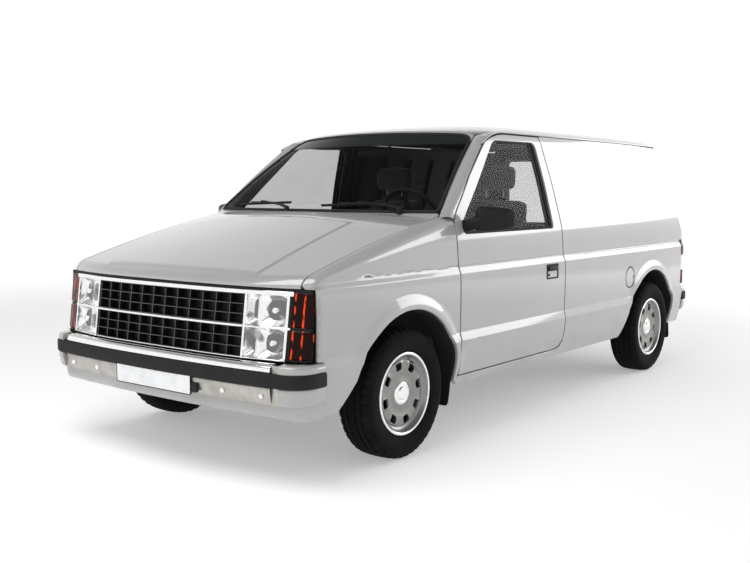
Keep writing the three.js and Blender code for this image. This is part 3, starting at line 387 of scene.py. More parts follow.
# ---------------------------------------------------------------- mesh making
class Shape:
    """Points, faces and material marks that are gathered before they become a mesh."""

    def __init__(self):
        self.points, self.faces, self.marks, self.normals = [], [], [], []

    def put(self, points, faces, mark=0, normals=None):
        start = len(self.points)
        self.points += [tuple(p) for p in points]
        self.faces += [tuple(start + i for i in face) for face in faces]
        self.marks += [mark] * len(faces)
        self.normals += list(normals) if normals is not None else [(0, 0, 0)] * len(points)
        return self

    def grid(self, rows, mark=0, across=False, along=False, fair=False, flip=False):
        """A sheet through rows of points. across closes each row on itself and along joins the last row to the first."""
        count, width = len(rows), len(rows[0])
        faces = []
        for i in range(count if along else count - 1):
            for j in range(width if across else width - 1):
                a, b = i * width + j, i * width + (j + 1) % width
                c, d = ((i + 1) % count) * width + (j + 1) % width, ((i + 1) % count) * width + j
                faces.append((a, d, c, b) if flip else (a, b, c, d))
        points = [p for row in rows for p in row]
        normals = None
        if fair:
            net = np.array(rows, float)
            if across:
                du = np.roll(net, -1, 1) - np.roll(net, 1, 1)
            else:
                du = np.gradient(net, axis=1)
            dv = np.roll(net, -1, 0) - np.roll(net, 1, 0) if along else np.gradient(net, axis=0)
            normal = np.cross(du, dv).reshape(-1, 3) * (-1 if flip else 1)
            length = np.linalg.norm(normal, axis=1, keepdims=True)
            normals = [tuple(n) for n in normal / np.maximum(length, 1e-9)]
        return self.put(points, faces, mark, normals)

    def turned(self, profile, centre, axis="x", steps=48, mark=0, sign=1, fair=False):
        """A turned surface from (radius, along) points."""
        rows = []
        for i in range(steps):
            a = 2 * math.pi * i / steps
            c, s = math.cos(a), math.sin(a)
            row = []
            for r, t in profile:
                if axis == "x":
                    row.append((centre[0] + sign * t, centre[1] + r * c, centre[2] + r * s))
                elif axis == "y":
                    row.append((centre[0] + r * c, centre[1] + sign * t, centre[2] + r * s))
                else:
                    row.append((centre[0] + r * c, centre[1] + r * s, centre[2] + sign * t))
            rows.append(row)
        turn = sign if axis != "y" else -sign
        return self.grid(rows, mark, along=True, fair=fair, flip=turn < 0)

    def sweep(self, path, section, mark=0, closed=False, up=(0, 0, 1), scale=None, caps=True):
        """A bar along path: section holds (side, up) offsets, counter-clockwise seen from its start."""
        points = [Vector(p) for p in path]
        count = len(points)
        rows = []
        for i, p in enumerate(points):
            ahead = points[(i + 1) % count] if closed or i < count - 1 else p
            behind = points[i - 1] if closed or i else p
            tangent = (ahead - behind).normalized()
            side = tangent.cross(Vector(up)).normalized()
            lift = side.cross(tangent)
            size = scale[i] if scale else 1.0
            rows.append([tuple(p + side * a * size + lift * b * size) for a, b in section])
        self.grid(rows, mark, across=True, along=closed)
        if caps and not closed:
            ring = list(range(len(section)))
            self.put(rows[0], [tuple(ring)], mark)
            self.put(rows[-1], [tuple(reversed(ring))], mark)
        return self

    def tube(self, path, radius, mark=0, closed=False, sides=8, up=(0, 0, 1), scale=None):
        ring = [(radius * math.cos(2 * math.pi * k / sides), radius * math.sin(2 * math.pi * k / sides))
            for k in range(sides)]
        return self.sweep(path, ring, mark, closed, up, scale)

    def block(self, low, high, edge=2.0, mark=0, steps=2, bend=None):
        """A box with rounded edges between two corners. bend moves each point."""
        made = bmesh.new()
        bmesh.ops.create_cube(made, size=1)
        low, high = Vector(low), Vector(high)
        for v in made.verts:
            v.co = Vector(low[i] if v.co[i] < 0 else high[i] for i in range(3))
        if edge:
            bmesh.ops.bevel(made, geom=list(made.edges), offset=edge, segments=steps, profile=0.5, affect="EDGES")
        made.verts.index_update()
        points = [tuple(v.co) for v in made.verts]
        if bend:
            points = [bend(*p) for p in points]
        faces = [tuple(v.index for v in f.verts) for f in made.faces]
        made.free()
        return self.put(points, faces, mark)

    def dome(self, centre, radius, height, direction, mark=0, steps=12):
        """A low round head standing on a surface."""
        out = Vector(direction).normalized()
        side = out.orthogonal().normalized()
        other = out.cross(side)
        rows = []
        for k in range(5):
            a = k / 4 * math.pi / 2
            r, h = radius * math.cos(a) + 0.02, height * math.sin(a)
            rows.append([tuple(Vector(centre) + out * h + (side * math.cos(b) + other * math.sin(b)) * r)
                for b in (2 * math.pi * i / steps for i in range(steps))])
        return self.grid(rows, mark, across=True, fair=True)

    def mirrored(self):
        made = Shape()
        made.points = [(-x, y, z) for x, y, z in self.points]
        made.faces = [tuple(reversed(face)) for face in self.faces]
        made.marks = list(self.marks)
        made.normals = [(-x, y, z) for x, y, z in self.normals]
        return made

    def moved(self, matrix):
        made = Shape()
        made.points = [tuple(matrix @ Vector(p)) for p in self.points]
        turn = matrix.to_3x3()
        made.faces, made.marks = list(self.faces), list(self.marks)
        made.normals = [tuple(turn @ Vector(n)) for n in self.normals]
        return made


def area(loop):
    return 0.5 * sum(loop[i - 1][0] * loop[i][1] - loop[i][0] * loop[i - 1][1] for i in range(len(loop)))


def densified(loop, step, levels=()):
    """The closed loop with points no further apart than step, and one at each level it crosses."""
    points = []
    for i, (a, b) in enumerate(loop):
        na, nb = loop[(i + 1) % len(loop)]
        length = math.hypot(na - a, nb - b)
        if length < 1e-6:
            continue
        cuts = {k / max(1, math.ceil(length / step)) for k in range(max(1, math.ceil(length / step)))}
        if abs(nb - b) > 1:
            for level in levels:
                t = (level - b) / (nb - b)
                if 0.004 < t < 0.996:
                    cuts.add(t)
        last = None
        for t in sorted(cuts):
            if last is not None and (t - last) * length < 0.8:
                continue
            points.append((lerp(a, na, t), lerp(b, nb, t)))
            last = t
    return points


def inset(loop, distance):
    """Each point moved to the left of the loop's direction."""
    net = np.array(loop)
    step = np.roll(net, -1, 0) - net
    step /= np.maximum(np.linalg.norm(step, axis=1, keepdims=True), 1e-9)
    left = np.stack([-step[:, 1], step[:, 0]], 1)
    middle = left + np.roll(left, 1, 0)
    middle /= np.maximum(np.linalg.norm(middle, axis=1, keepdims=True), 1e-9)
    reach = distance / np.maximum((middle * left).sum(1, keepdims=True), 0.5)
    return [tuple(p) for p in net + middle * reach], middle


def inside(points, loops):
    """Which of the points lie inside the loops taken together, holes left out."""
    points = np.array(points, float).reshape(-1, 2)
    odd = np.zeros(len(points), bool)
    for loop in loops:
        net = np.array(loop)
        after = np.roll(net, -1, 0)
        for (ax, ay), (bx, by) in zip(net, after):
            if ay == by:
                continue
            crosses = (points[:, 1] >= min(ay, by)) & (points[:, 1] < max(ay, by))
            at = ax + (points[:, 1] - ay) * (bx - ax) / (by - ay)
            odd ^= crosses & (points[:, 0] < at)
    return odd


def panel(shape, outline, place, holes=(), rows=(), lines=(), step=45, edge_step=16, radius=3.0, depth=16.0, mark=0,
    wall_mark=None, back_mark=None, margin=5.0):
    """A pressed sheet over an outline with holes. place(a, b) gives a point, and its edges roll inwards.

    rows are levels of b that need a row of points, and lines are polylines that need points too."""

    def at(a, b):
        p = np.array(place(a, b))
        e = 0.4
        da = np.array(place(a + e, b)) - np.array(place(a - e, b))
        db = np.array(place(a, b + e)) - np.array(place(a, b - e))
        n = np.cross(da, db)
        return p, n / max(np.linalg.norm(n), 1e-9)

    loops = []
    for k, loop in enumerate([outline, *holes]):
        loop = densified(loop, edge_step, rows)
        if (area(loop) > 0) != (k == 0):
            loop = loop[::-1]
        loops.append(loop)
    wall_mark = mark if wall_mark is None else wall_mark
    inner = [inset(loop, radius)[0] for loop in loops]

    flat, bars = [], []
    ring_ids = []
    for loop in inner:
        start = len(flat)
        flat += loop
        ring_ids.append(list(range(start, start + len(loop))))
        bars += [(start + i, start + (i + 1) % len(loop)) for i in range(len(loop))]
    edges = [(np.array(loop), np.roll(np.array(loop), -1, 0)) for loop in inner]
    for level in rows:
        hits = []
        for net, after in edges:
            low, high = np.minimum(net[:, 1], after[:, 1]), np.maximum(net[:, 1], after[:, 1])
            on = (low <= level) & (level < high)
            for (ax, ay), (bx, by) in zip(net[on], after[on]):
                hits.append(ax + (level - ay) * (bx - ax) / (by - ay))
        hits.sort()
        for left, right in zip(hits[::2], hits[1::2]):
            left, right = left + margin, right - margin
            if right - left < 1:
                continue
            first, last = math.ceil((left + 4) / step), math.floor((right - 4) / step)
            columns = [left, *[c * step for c in range(first, last + 1)], right]
            start = len(flat)
            flat += [(c, level) for c in columns]
            bars += [(start + i, start + i + 1) for i in range(len(columns) - 1)]
    for line in lines:
        near = np.ones(len(line), bool)
        net = np.array(line, float)
        for loop in inner:
            rim = np.array(loop)
            near &= np.min(np.linalg.norm(net[:, None] - rim[None], axis=2), axis=1) > margin * 0.6
        keep = inside(line, inner) & near
        start = None
        for i, point in enumerate(line):
            if keep[i]:
                flat.append(tuple(point))
                if start is not None:
                    bars.append((start, len(flat) - 1))
                start = len(flat) - 1
            else:
                start = None

    found, _, faces, origins, _, _ = delaunay_2d_cdt([Vector(p) for p in flat], bars, [], 0, 1e-4)
    where = {}
    for i, sources in enumerate(origins):
        for source in sources:
            where[source] = i
    centres = [tuple(sum((found[i] for i in f), Vector((0, 0))) / len(f)) for f in faces]
    keep = inside(centres, inner)
    kept = []
    for face, good in zip(faces, keep):
        if good:
            a, b, c = (found[i] for i in face[:3])
            turn = (b.x - a.x) * (c.y - a.y) - (b.y - a.y) * (c.x - a.x)
            if abs(turn) < 1e-6:
                continue
            kept.append(tuple(face) if turn > 0 else tuple(reversed(face)))
    spots = [at(p.x, p.y) for p in found]
    shape.put([s[0] for s in spots], kept, mark, [tuple(s[1]) for s in spots])

    for loop, rim, ids in zip(loops, inner, ring_ids):
        _, middles = inset(loop, 1.0)
        rings, normals = [], []
        turns = [0, 30, 60, 90]
        bases = [at(*p) for p in loop]
        tops = [spots[where[i]] for i in ids]
        outs = []
        for (base, n), (a, b), m in zip(bases, loop, middles):
            out = np.array(place(a - m[0] * 0.5, b - m[1] * 0.5)) - np.array(place(a + m[0] * 0.5, b + m[1] * 0.5))
            out -= n * out.dot(n)
            outs.append(out / max(np.linalg.norm(out), 1e-9))
        rings.append([b - n * depth for b, n in bases])
        normals.append([tuple(o) for o in outs])
        for turn in turns:
            t = math.radians(turn)
            share, sink = math.cos(t), radius * (1 - math.sin(t))
            ring, ring_normals = [], []
            for (base, n), (top, tn), out in zip(bases, tops, outs):
                mixed = top * (1 - share) + base * share
                ring.append(mixed - n * sink)
                ring_normals.append(tuple(out * math.cos(t) + tn * math.sin(t)))
            rings.append(ring)
            normals.append(ring_normals)
        width = len(loop)
        for k in range(len(rings) - 1):
            band = [*rings[k], *rings[k + 1]]
            faces = [(j, (j + 1) % width, width + (j + 1) % width, width + j) for j in range(width)]
            shape.put(band, faces, wall_mark if k == 0 else mark, [*normals[k], *normals[k + 1]])
    if back_mark is not None:
        shape.put([s[0] - s[1] * depth for s in spots], [tuple(reversed(f)) for f in kept], back_mark,
            [tuple(-s[1]) for s in spots])
    return shape


def build(name, shape, materials, body, slot=None, replaces=(), angle=34, faired=True):
    """Makes the gathered shape an object that rides on a body."""
    mesh = bpy.data.meshes.new(name)
    mesh.from_pydata([(x / METRE, y / METRE, z / METRE) for x, y, z in shape.points], [], shape.faces)
    for material in materials:
        mesh.materials.append(material)
    mesh.polygons.foreach_set("material_index", shape.marks)
    mesh.shade_smooth()
    mesh.set_sharp_from_angle(angle=math.radians(angle))
    if faired and any(n != (0, 0, 0) for n in shape.normals):
        mesh.normals_split_custom_set_from_vertices(shape.normals)
    mesh.update()
    made = bpy.data.objects.new(name, mesh)
    bpy.context.scene.collection.objects.link(made)
    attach(made, body)
    if replaces:
        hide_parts(*replaces)
    return made


def pair(name, shape, materials, body, slot=None, replaces=(), sided=False, **more):
    """The shape on the left and its mirror image on the right."""
    for side, made in (("left", shape), ("right", shape.mirrored())):
        build(f"{name}_{side}", made, materials, f"{body}_{side}" if sided else body, slot,
            [f"{node}_{side}" for node in replaces], **more)


# ---------------------------------------------------------------- materials
class Link:
    """A socket of a material, so that sums of masks can be written as plain expressions."""

    def __init__(self, finish, socket):
        self.finish, self.socket = finish, socket

    def _sum(self, operation, *values):
        return self.finish.node("ShaderNodeMath", {"operation": operation}, dict(enumerate(values)))

    def __add__(self, other):
        return self._sum("ADD", self, other)

    __radd__ = __add__

    def __sub__(self, other):
        return self._sum("SUBTRACT", self, other)

    def __rsub__(self, other):
        return self._sum("SUBTRACT", other, self)

    def __mul__(self, other):
        return self._sum("MULTIPLY", self, other)

    __rmul__ = __mul__

    def sine(self):
        return self._sum("SINE", self)

    def ramp(self, low, high, out_low=0.0, out_high=1.0):
        return self.finish.node("ShaderNodeMapRange", {"interpolation_type": "SMOOTHSTEP"},
            {0: self, 1: low, 2: high, 3: out_low, 4: out_high})


class Finish:
    """A material while it is made. node() adds any node, and the rest are the few that recur."""

    def __init__(self, name):
        self.material = bpy.data.materials.new(name)
        self.material.use_nodes = True
        self.tree = self.material.node_tree
        self.tree.nodes.clear()
        self.coordinates = None

    def node(self, kind, settings=None, values=None, out=0):
        made = self.tree.nodes.new(kind)
        for key, value in (settings or {}).items():
            if key == "stops":
                ramp = made.color_ramp
                while len(ramp.elements) < len(value):
                    ramp.elements.new(0.5)
                for element, (at, colour) in zip(ramp.elements, value):
                    element.position, element.color = at, (*colour, 1)
            else:
                setattr(made, key, value)
        for key, value in (values or {}).items():
            if isinstance(value, Link):
                self.tree.links.new(value.socket, made.inputs[key])
            else:
                if isinstance(value, (tuple, list)) and len(value) == 3 and made.inputs[key].type == "RGBA":
                    value = (*value, 1)
                made.inputs[key].default_value = value
        return Link(self, made.outputs[out])

    def place(self, scale=None):
        if self.coordinates is None:
            self.coordinates = self.node("ShaderNodeTexCoord", out="Object")
        if scale is None:
            return self.coordinates
        return self.node("ShaderNodeVectorMath", {"operation": "MULTIPLY"}, {0: self.coordinates, 1: scale})

    def axis(self, name):
        return self.node("ShaderNodeSeparateXYZ", None, {0: self.place()}, "XYZ".index(name.upper()))

    def noise(self, scale, detail=3.0, stretch=None, rough=0.5):
        return self.node("ShaderNodeTexNoise", None, {"Vector": self.place(stretch), "Scale": scale, "Detail": detail,
            "Roughness": rough})

    def cells(self, scale, feature="F1", stretch=None, out="Distance"):
        return self.node("ShaderNodeTexVoronoi", {"feature": feature},
            {"Vector": self.place(stretch), "Scale": scale}, out)

    def reach(self, near, far):
        """0 within near metres of the origin and 1 beyond far."""
        away = self.node("ShaderNodeVectorMath", {"operation": "LENGTH"}, {0: self.place()}, "Value")
        return away.ramp(near, far)

    def mix(self, a, b, factor):
        return self.node("ShaderNodeMix", {"data_type": "RGBA"}, {0: factor, 6: a, 7: b}, 2)

    def bump(self, height, distance, strength=1.0):
        return self.node("ShaderNodeBump", None, {"Height": height, "Distance": distance, "Strength": strength})

    def done(self, **sockets):
        values = {key.replace("_", " "): value for key, value in sockets.items()}
        shader = self.node("ShaderNodeBsdfPrincipled", None, values)
        self.node_out(shader)
        return self.material

    def node_out(self, shader):
        output = self.tree.nodes.new("ShaderNodeOutputMaterial")
        self.tree.links.new(shader.socket, output.inputs[0])


MADE = {}


def finish(name):
    """The named material, made the first time that it is asked for."""
    if name not in MADE:
        MADE[name] = MAKERS[name](Finish(name), bpy.context.scene.van_looks)
    return MADE[name]


def shade(colour, factor):
    return tuple(clamp(c * factor) for c in tuple(colour)[:3])


def gloss_paint(f, looks):
    """Solid white body paint: a clear coat over fine orange peel, with painted shade that darkens it towards the
    bottom, where it is also duller.
    """
    # dust paints shade, not dirt: it darkens the paint towards the bottom, broken by noise, and dulls the coat there.
    dust = f.axis("z").ramp(0.62, 0.24) * f.noise(9, 5).ramp(0.35, 0.75)
    base = f.mix(tuple(looks.paint_colour), shade(looks.paint_colour, 0.965), f.noise(2.2, 4).ramp(0.4, 0.7))
    peel = f.bump(f.noise(420, 1), 0.00004, 0.5)
    # The base colour is mixed towards a darker grey by the dust mask: painted shade low down.
    return f.done(Base_Color=f.mix(base, (0.46, 0.44, 0.41), dust * 0.16),
        Roughness=f.noise(60, 2).ramp(0.2, 0.8, 0.30, 0.36) + dust * 0.25, Coat_Weight=1 - dust * 0.6,
        Coat_Roughness=0.05, Coat_IOR=1.7, Specular_IOR_Level=0.45, Normal=peel)


def bright_metal(f, looks):
    """Polished chrome with faint haze and fine scratches along its length."""
    haze = f.noise(35, 4).ramp(0.35, 0.8)
    scratch = f.noise(900, 2, (0.03, 1, 1)).ramp(0.6, 0.8)
    return f.done(Base_Color=f.mix((0.93, 0.93, 0.925), (0.80, 0.80, 0.79), haze * 0.5), Metallic=1.0,
        Roughness=0.07 + haze * 0.08 + scratch * 0.06, Normal=f.bump(scratch, 0.00002, 0.3))


def bumper_metal(f, looks):
    """The bumper's satin bright metal, warmer and duller than the trim."""
    haze = f.noise(22, 5).ramp(0.3, 0.8)
    grain = f.noise(700, 2, (0.02, 1, 1)).ramp(0.4, 0.8)
    return f.done(Base_Color=f.mix((0.50, 0.485, 0.455), (0.40, 0.385, 0.355), haze), Metallic=0.85,
        Roughness=0.30 + haze * 0.12 + grain * 0.08, Normal=f.bump(grain, 0.00003, 0.4))


def wheel_silver(f, looks):
    """Silver lacquer over pressed steel, with patches of brake dust."""
    dust = f.noise(45, 5).ramp(0.45, 0.85)
    fleck = f.cells(1400).ramp(0.1, 0.6)
    return f.done(Base_Color=f.mix(f.mix((0.30, 0.297, 0.288), (0.24, 0.237, 0.23), fleck), (0.16, 0.14, 0.12),
        dust * 0.35), Metallic=0.8, Roughness=0.33 + dust * 0.25, Coat_Weight=0.4, Coat_Roughness=0.12,
        Normal=f.bump(f.noise(300, 2), 0.00003, 0.4))


def tyre_rubber(f, looks):
    """Dusty black tyre rubber with moulding grain."""
    dust = f.noise(14, 6).ramp(0.35, 0.8)
    grain = f.noise(900, 3)
    return f.done(Base_Color=f.mix((0.003, 0.003, 0.003), (0.010, 0.0098, 0.0094), dust),
        Roughness=0.78 + dust * 0.14, Specular_IOR_Level=0.12, Normal=f.bump(grain, 0.00015, 0.5))


def plastic(colour, roughness, grain, depth):
    def make(f, looks):
        """Moulded plastic with a leather-like grain, paler where it has weathered."""
        worn = f.noise(7, 5).ramp(0.4, 0.8)
        skin = f.cells(grain, "SMOOTH_F1")
        return f.done(Base_Color=f.mix(colour, tuple(c * 1.35 + 0.003 for c in colour), worn),
            Roughness=roughness + worn * 0.1 + f.noise(120, 2) * 0.06, Specular_IOR_Level=0.22,
            Normal=f.bump(skin, depth, 0.45))

    return make


def seal_rubber(f, looks):
    """Soft black weatherstrip."""
    return f.done(Base_Color=f.mix((0.008, 0.008, 0.008), (0.022, 0.022, 0.022), f.noise(30, 4)),
        Roughness=0.6 + f.noise(200, 2) * 0.2, Specular_IOR_Level=0.25, Normal=f.bump(f.noise(600, 2), 0.00008, 0.4))


def glass_finish(tint, alpha, level, top=None):
    def make(f, looks):
        """Tinted safety glass: a dark veil that lets the cabin through, with a clear gloss."""
        smear = f.noise(6, 5).ramp(0.45, 0.8)
        veil = alpha + smear * 0.02
        colour = f.mix(tint, tuple(t * 1.5 + 0.002 for t in tint), smear)
        if top:
            band = f.axis("z").ramp(top[0], top[1])
            veil = veil + band * (0.97 - alpha)
            colour = f.mix(colour, top[2], band)
        return f.done(Base_Color=colour, Roughness=0.02 + smear * 0.03, Specular_IOR_Level=level, Alpha=veil)

    return make


def lamp_lens(f, looks):
    """Clear moulded lens with soft vertical flutes."""
    flutes = (f.axis("x") * 260).sine()
    swirl = f.noise(24, 2, (1, 0.4, 0.8))
    return f.done(Base_Color=f.mix((0.88, 0.90, 0.91), (0.98, 0.99, 0.99), swirl), Roughness=0.03 + swirl * 0.04,
        Alpha=0.16 + swirl.ramp(0.5, 0.7) * 0.2, Specular_IOR_Level=0.7,
        Normal=f.bump(flutes * 0.4 + swirl, 0.0010, 0.6))


def lamp_mirror(f, looks):
    """The lamp's silver bowl: large bright facets, with dark bands painted into its colour as painted reflections."""
    cells = f.cells(15, "F1", (1, 0.35, 1.1), "Distance")
    painted_reflection_bands = f.noise(11, 2, (1.0, 0.5, 0.8), 0.4)
    # dark paints reflections: bands of the bowl's colour turned near black, standing in for dark surroundings
    # mirrored in it.
    dark = painted_reflection_bands.ramp(0.60, 0.66) + painted_reflection_bands.ramp(0.40, 0.35)
    return f.done(Base_Color=f.mix((0.96, 0.965, 0.97), (0.13, 0.135, 0.14), dark), Metallic=0.9,
        Roughness=0.10 + cells * 0.10, Normal=f.bump(cells, 0.004, 0.8))


def coloured_lens(deep, lit, pitch, axis, painted_glint_strength):
    def make(f, looks):
        """Coloured moulded lens, dark where it looks into the housing, with painted highlights: a few of its prisms
        are made bright and glow, in place of light caught by the reflector behind.
        """
        broken = f.noise(22, 3, (1, 1, 0.5), 0.6)
        prism = (f.axis(axis) * pitch + broken * 2.2).sine()
        fine = (f.axis("z") * 1500).sine() * 0.5 + 0.5
        # glow paints highlights: bright, glowing streaks along a few prisms that stand in for light off the reflector
        # behind.
        glow = prism.ramp(0.80, 0.92) * broken.ramp(0.42, 0.5)
        return f.done(Base_Color=f.mix(deep, lit, glow), Roughness=0.10 + fine * 0.08, Specular_IOR_Level=0.12,
            Emission_Color=f.mix((0, 0, 0), shade(lit, 0.7), glow), Emission_Strength=painted_glint_strength,
            Normal=f.bump(fine + prism, 0.0004, 0.3))

    return make


def seat_cloth(f, looks):
    """Woven seat cloth with a fine rib and a faint fleck."""
    weave = (f.axis("x") * 3400).sine() * (f.axis("z") * 3400 + f.axis("y") * 3400).sine()
    fleck = f.noise(160, 3).ramp(0.45, 0.6)
    worn = f.noise(5, 4).ramp(0.4, 0.75)
    base = f.mix(tuple(looks.seat_colour), shade(looks.seat_colour, 1.45), fleck * 0.6)
    return f.done(Base_Color=f.mix(base, shade(looks.seat_colour, 0.75), worn * 0.5), Roughness=0.86 + weave * 0.05,
        Sheen_Weight=0.35, Sheen_Roughness=0.5, Specular_IOR_Level=0.2, Normal=f.bump(weave, 0.0004, 0.5))


def piping_vinyl(f, looks):
    """Grained vinyl for piping and seat sides."""
    return f.done(Base_Color=f.mix((0.035, 0.036, 0.036), (0.06, 0.061, 0.06), f.noise(40, 4)),
        Roughness=0.5 + f.noise(150, 2) * 0.15, Normal=f.bump(f.cells(700), 0.0002, 0.5))


def floor_mat(f, looks):
    """Ribbed rubber floor covering with trodden-in dust."""
    ribs = (f.axis("x") * 520).sine()
    dust = f.noise(8, 6).ramp(0.4, 0.8)
    return f.done(Base_Color=f.mix((0.02, 0.02, 0.02), (0.075, 0.07, 0.062), dust * 0.7),
        Roughness=0.75 + dust * 0.15, Normal=f.bump(ribs, 0.0012, 0.6))


def underseal(f, looks):
    """Sprayed stone-chip coating over steel, dusted with road dirt."""
    lumps = f.noise(160, 4)
    dirt = f.noise(6, 6).ramp(0.42, 0.75)
    return f.done(Base_Color=f.mix((0.016, 0.016, 0.016), (0.10, 0.088, 0.072), dirt * (0.35 + f.noise(48, 3) * 0.4)),
        Roughness=0.82 + lumps * 0.12, Normal=f.bump(lumps, 0.0012, 0.6))


def cast_iron(f, looks):
    """Sand-cast iron and rough steel with blooms of rust."""
    sand = f.noise(240, 4)
    rust = f.noise(15, 6).ramp(0.5, 0.72)
    return f.done(Base_Color=f.mix((0.11, 0.105, 0.10), (0.17, 0.075, 0.035), rust * 0.75),
        Metallic=0.75 - rust * 0.6, Roughness=0.52 + rust * 0.3, Normal=f.bump(sand, 0.0006, 0.6))


def bare_steel(f, looks):
    """Aluminised exhaust pipe, straw-coloured where it runs hot."""
    heat = f.noise(5, 4).ramp(0.4, 0.7)
    return f.done(Base_Color=f.mix((0.33, 0.32, 0.31), (0.20, 0.13, 0.075), heat), Metallic=0.9,
        Roughness=0.4 + heat * 0.2, Normal=f.bump(f.noise(90, 4), 0.0005, 0.5))


def plate_face(f, looks):
    """A blank reflective plate: fine bead texture under clear film."""
    beads = f.cells(2600)
    return f.done(Base_Color=f.mix((0.83, 0.84, 0.85), (0.74, 0.75, 0.76), f.noise(20, 4).ramp(0.4, 0.8)),
        Roughness=0.35 + beads * 0.15, Coat_Weight=0.5, Coat_Roughness=0.1, Normal=f.bump(beads, 0.0001, 0.3))


def cargo_board(f, looks):
    """Inner panels of the load space, grey-painted, but coloured near black as painted shade for the dim load space
    behind the glass.
    """
    marks = f.noise(11, 6, (0.4, 1, 2.4)).ramp(0.5, 0.7)
    # The near-black colours are painted shade for the dim load space, not the panels' own grey.
    return f.done(Base_Color=f.mix((0.010, 0.0102, 0.0102), (0.022, 0.0215, 0.021), marks * 0.6),
        Roughness=0.6 + marks * 0.2, Normal=f.bump(f.noise(220, 3), 0.0002, 0.5))


MAKERS = {maker.__name__: maker for maker in (gloss_paint, bright_metal, bumper_metal, wheel_silver, tyre_rubber,
    seal_rubber, lamp_lens, lamp_mirror, seat_cloth, piping_vinyl, floor_mat, underseal, cast_iron, bare_steel,
    plate_face, cargo_board)}
MAKERS.update(strip_plastic=plastic((0.011, 0.011, 0.0115), 0.56, 900, 0.00015),
    black_plastic=plastic((0.006, 0.006, 0.0063), 0.46, 1100, 0.0001),
    grille_edge=plastic((0.085, 0.087, 0.09), 0.4, 1200, 0.00005),
    # The cabin plastic is near black: partly the plastic's own dark colour, partly painted shade that keeps the cabin
    # dim behind the glass, as on the headlining.
    cabin_plastic=plastic((0.010, 0.0102, 0.0105), 0.66, 620, 0.0003),
    mud_rubber=plastic((0.009, 0.009, 0.009), 0.7, 500, 0.0003),
    screen_glass=glass_finish((0.004, 0.005, 0.005), 0.15, 0.10, (1.5, 1.512, (0.014, 0.016, 0.016))),
    side_glass=glass_finish((0.040, 0.044, 0.043), 0.20, 0.15),
    rear_glass=glass_finish((0.006, 0.007, 0.007), 0.10, 0.3),
    red_lens=coloured_lens((0.010, 0.0006, 0.0004), (0.7, 0.05, 0.004), 150, "x", 0.4),
    tail_red=coloured_lens((0.07, 0.004, 0.003), (0.30, 0.014, 0.008), 90, "z", 0.1))


# ---------------------------------------------------------------- bodywork
def side_point(y, z):
    return [side_x(y, z), y, z]


def lift(point, direction, distance):
    """A point moved off a surface along a direction."""
    return tuple(Vector(point) + Vector(direction).normalized() * distance)


def inward_panel(shape, outline, place, holes=(), **more):
    """A panel that faces the cabin: its outline is in (y, z) as for an outer one."""
    return panel(shape, [(-y, z) for y, z in outline], lambda a, z: place(-a, z),
        [[(-y, z) for y, z in hole] for hole in holes], **more)


def edge_strip(shape, outline, place, width, mark=0, out=0.0, stand=2.5, outward=(1, 0, 0.25)):
    """A low strip that follows an opening's edge: rubber, or a bright trim."""
    loop = densified(outline, 24)
    if area(loop) < 0:
        loop = loop[::-1]
    outer = [Vector(place(*p)) for p in inset(loop, -out)[0]]
    inner = [Vector(place(*p)) for p in inset(loop, width - out)[0]]
    up = Vector(outward).normalized() * stand
    rows = [[tuple(q) for q in (o - up * 3, o, o.lerp(i, 0.18) + up, o.lerp(i, 0.82) + up, i, i - up * 3)]
        for o, i in zip(outer, inner)]
    return shape.grid(rows, mark, along=True)


def front_door(looks):
    """The left front door: outer skin, folded edge, seals, inner card, armrest and pull."""
    shape = Shape()
    panel(shape, DOOR_OUTLINE, side_point, [WINDOW_OUTLINE], [z for z in SIDE_ROWS if z > 338], step=55,
        radius=looks.edge_radius, depth=28)
    edge_strip(shape, WINDOW_OUTLINE, lambda y, z: [side_x(y, z) - 12, y, z], 7, 1, out=1.0, stand=1.5)
    lower = [(y, z) for y, z in grown(DOOR_OUTLINE, -17) if z < 1004]

    def card(y, z):
        swell = smooth((z - 420) / 60) * smooth((965 - z) / 60)
        return [side_x(y, z) - 64 - 12 * swell, y, z]

    inward_panel(shape, lower, card, rows=spread(380, 980, 10), radius=9, depth=40, mark=2)
    upper = [(y, z) for y, z in grown(DOOR_OUTLINE, -15) if z > 996]
    inward_panel(shape, upper, lambda y, z: [side_x(y, z) - 36, y, z], [grown(WINDOW_OUTLINE, 1)],
        rows=spread(1010, 1550, 9), radius=4, depth=14, mark=2)
    shape.block((730, -640, 684), (800, -110, 740), 17, 2, 3)
    shape.block((742, -690, 806), (778, -560, 836), 9, 3, 2)
    shape.tube([(752, -560, 520), (736, -530, 530), (736, -340, 530), (752, -300, 520)], 9, 2)
    shape.block((742, -100, 470), (786, 60, 640), 12, 3, 2)
    return shape


def door_frame_seal():
    """The rubber that the closed door meets, round the body's opening."""
    loop = densified(grown(DOOR_OUTLINE, 1), 30)
    return Shape().tube([(side_x(y, z) - 34, y, z) for y, z in loop], 6, closed=True, sides=6, up=(1, 0, 0))


def door_handle(y0=-106, y1=30, z0=752, z1=838):
    """A flush pull in a square black cup, with its key lock beside it."""
    shape = Shape()
    frame_loop = rounded([(y0, z0, 9), (y1, z0, 9), (y1, z1, 9), (y0, z1, 9)])
    panel(shape, frame_loop, lambda y, z: [side_x(y, z) + 4, y, z],
        [rounded([(y0 + 9, z0 + 9, 5), (y1 - 9, z0 + 9, 5), (y1 - 9, z1 - 9, 5), (y0 + 9, z1 - 9, 5)])], radius=2,
        depth=10)
    x = side_x((y0 + y1) / 2, z0)
    shape.block((x - 6, y0 + 6, z0 + 6), (x - 1, y1 - 6, z1 - 6), 1)
    shape.block((x - 2, y0 + 12, z1 - 40), (x + 9, y1 - 14, z1 - 14), 4, steps=3)
    shape.dome((x, y0 + 26, z0 + 24), 9, 4, (1, 0, 0), 1)
    return shape


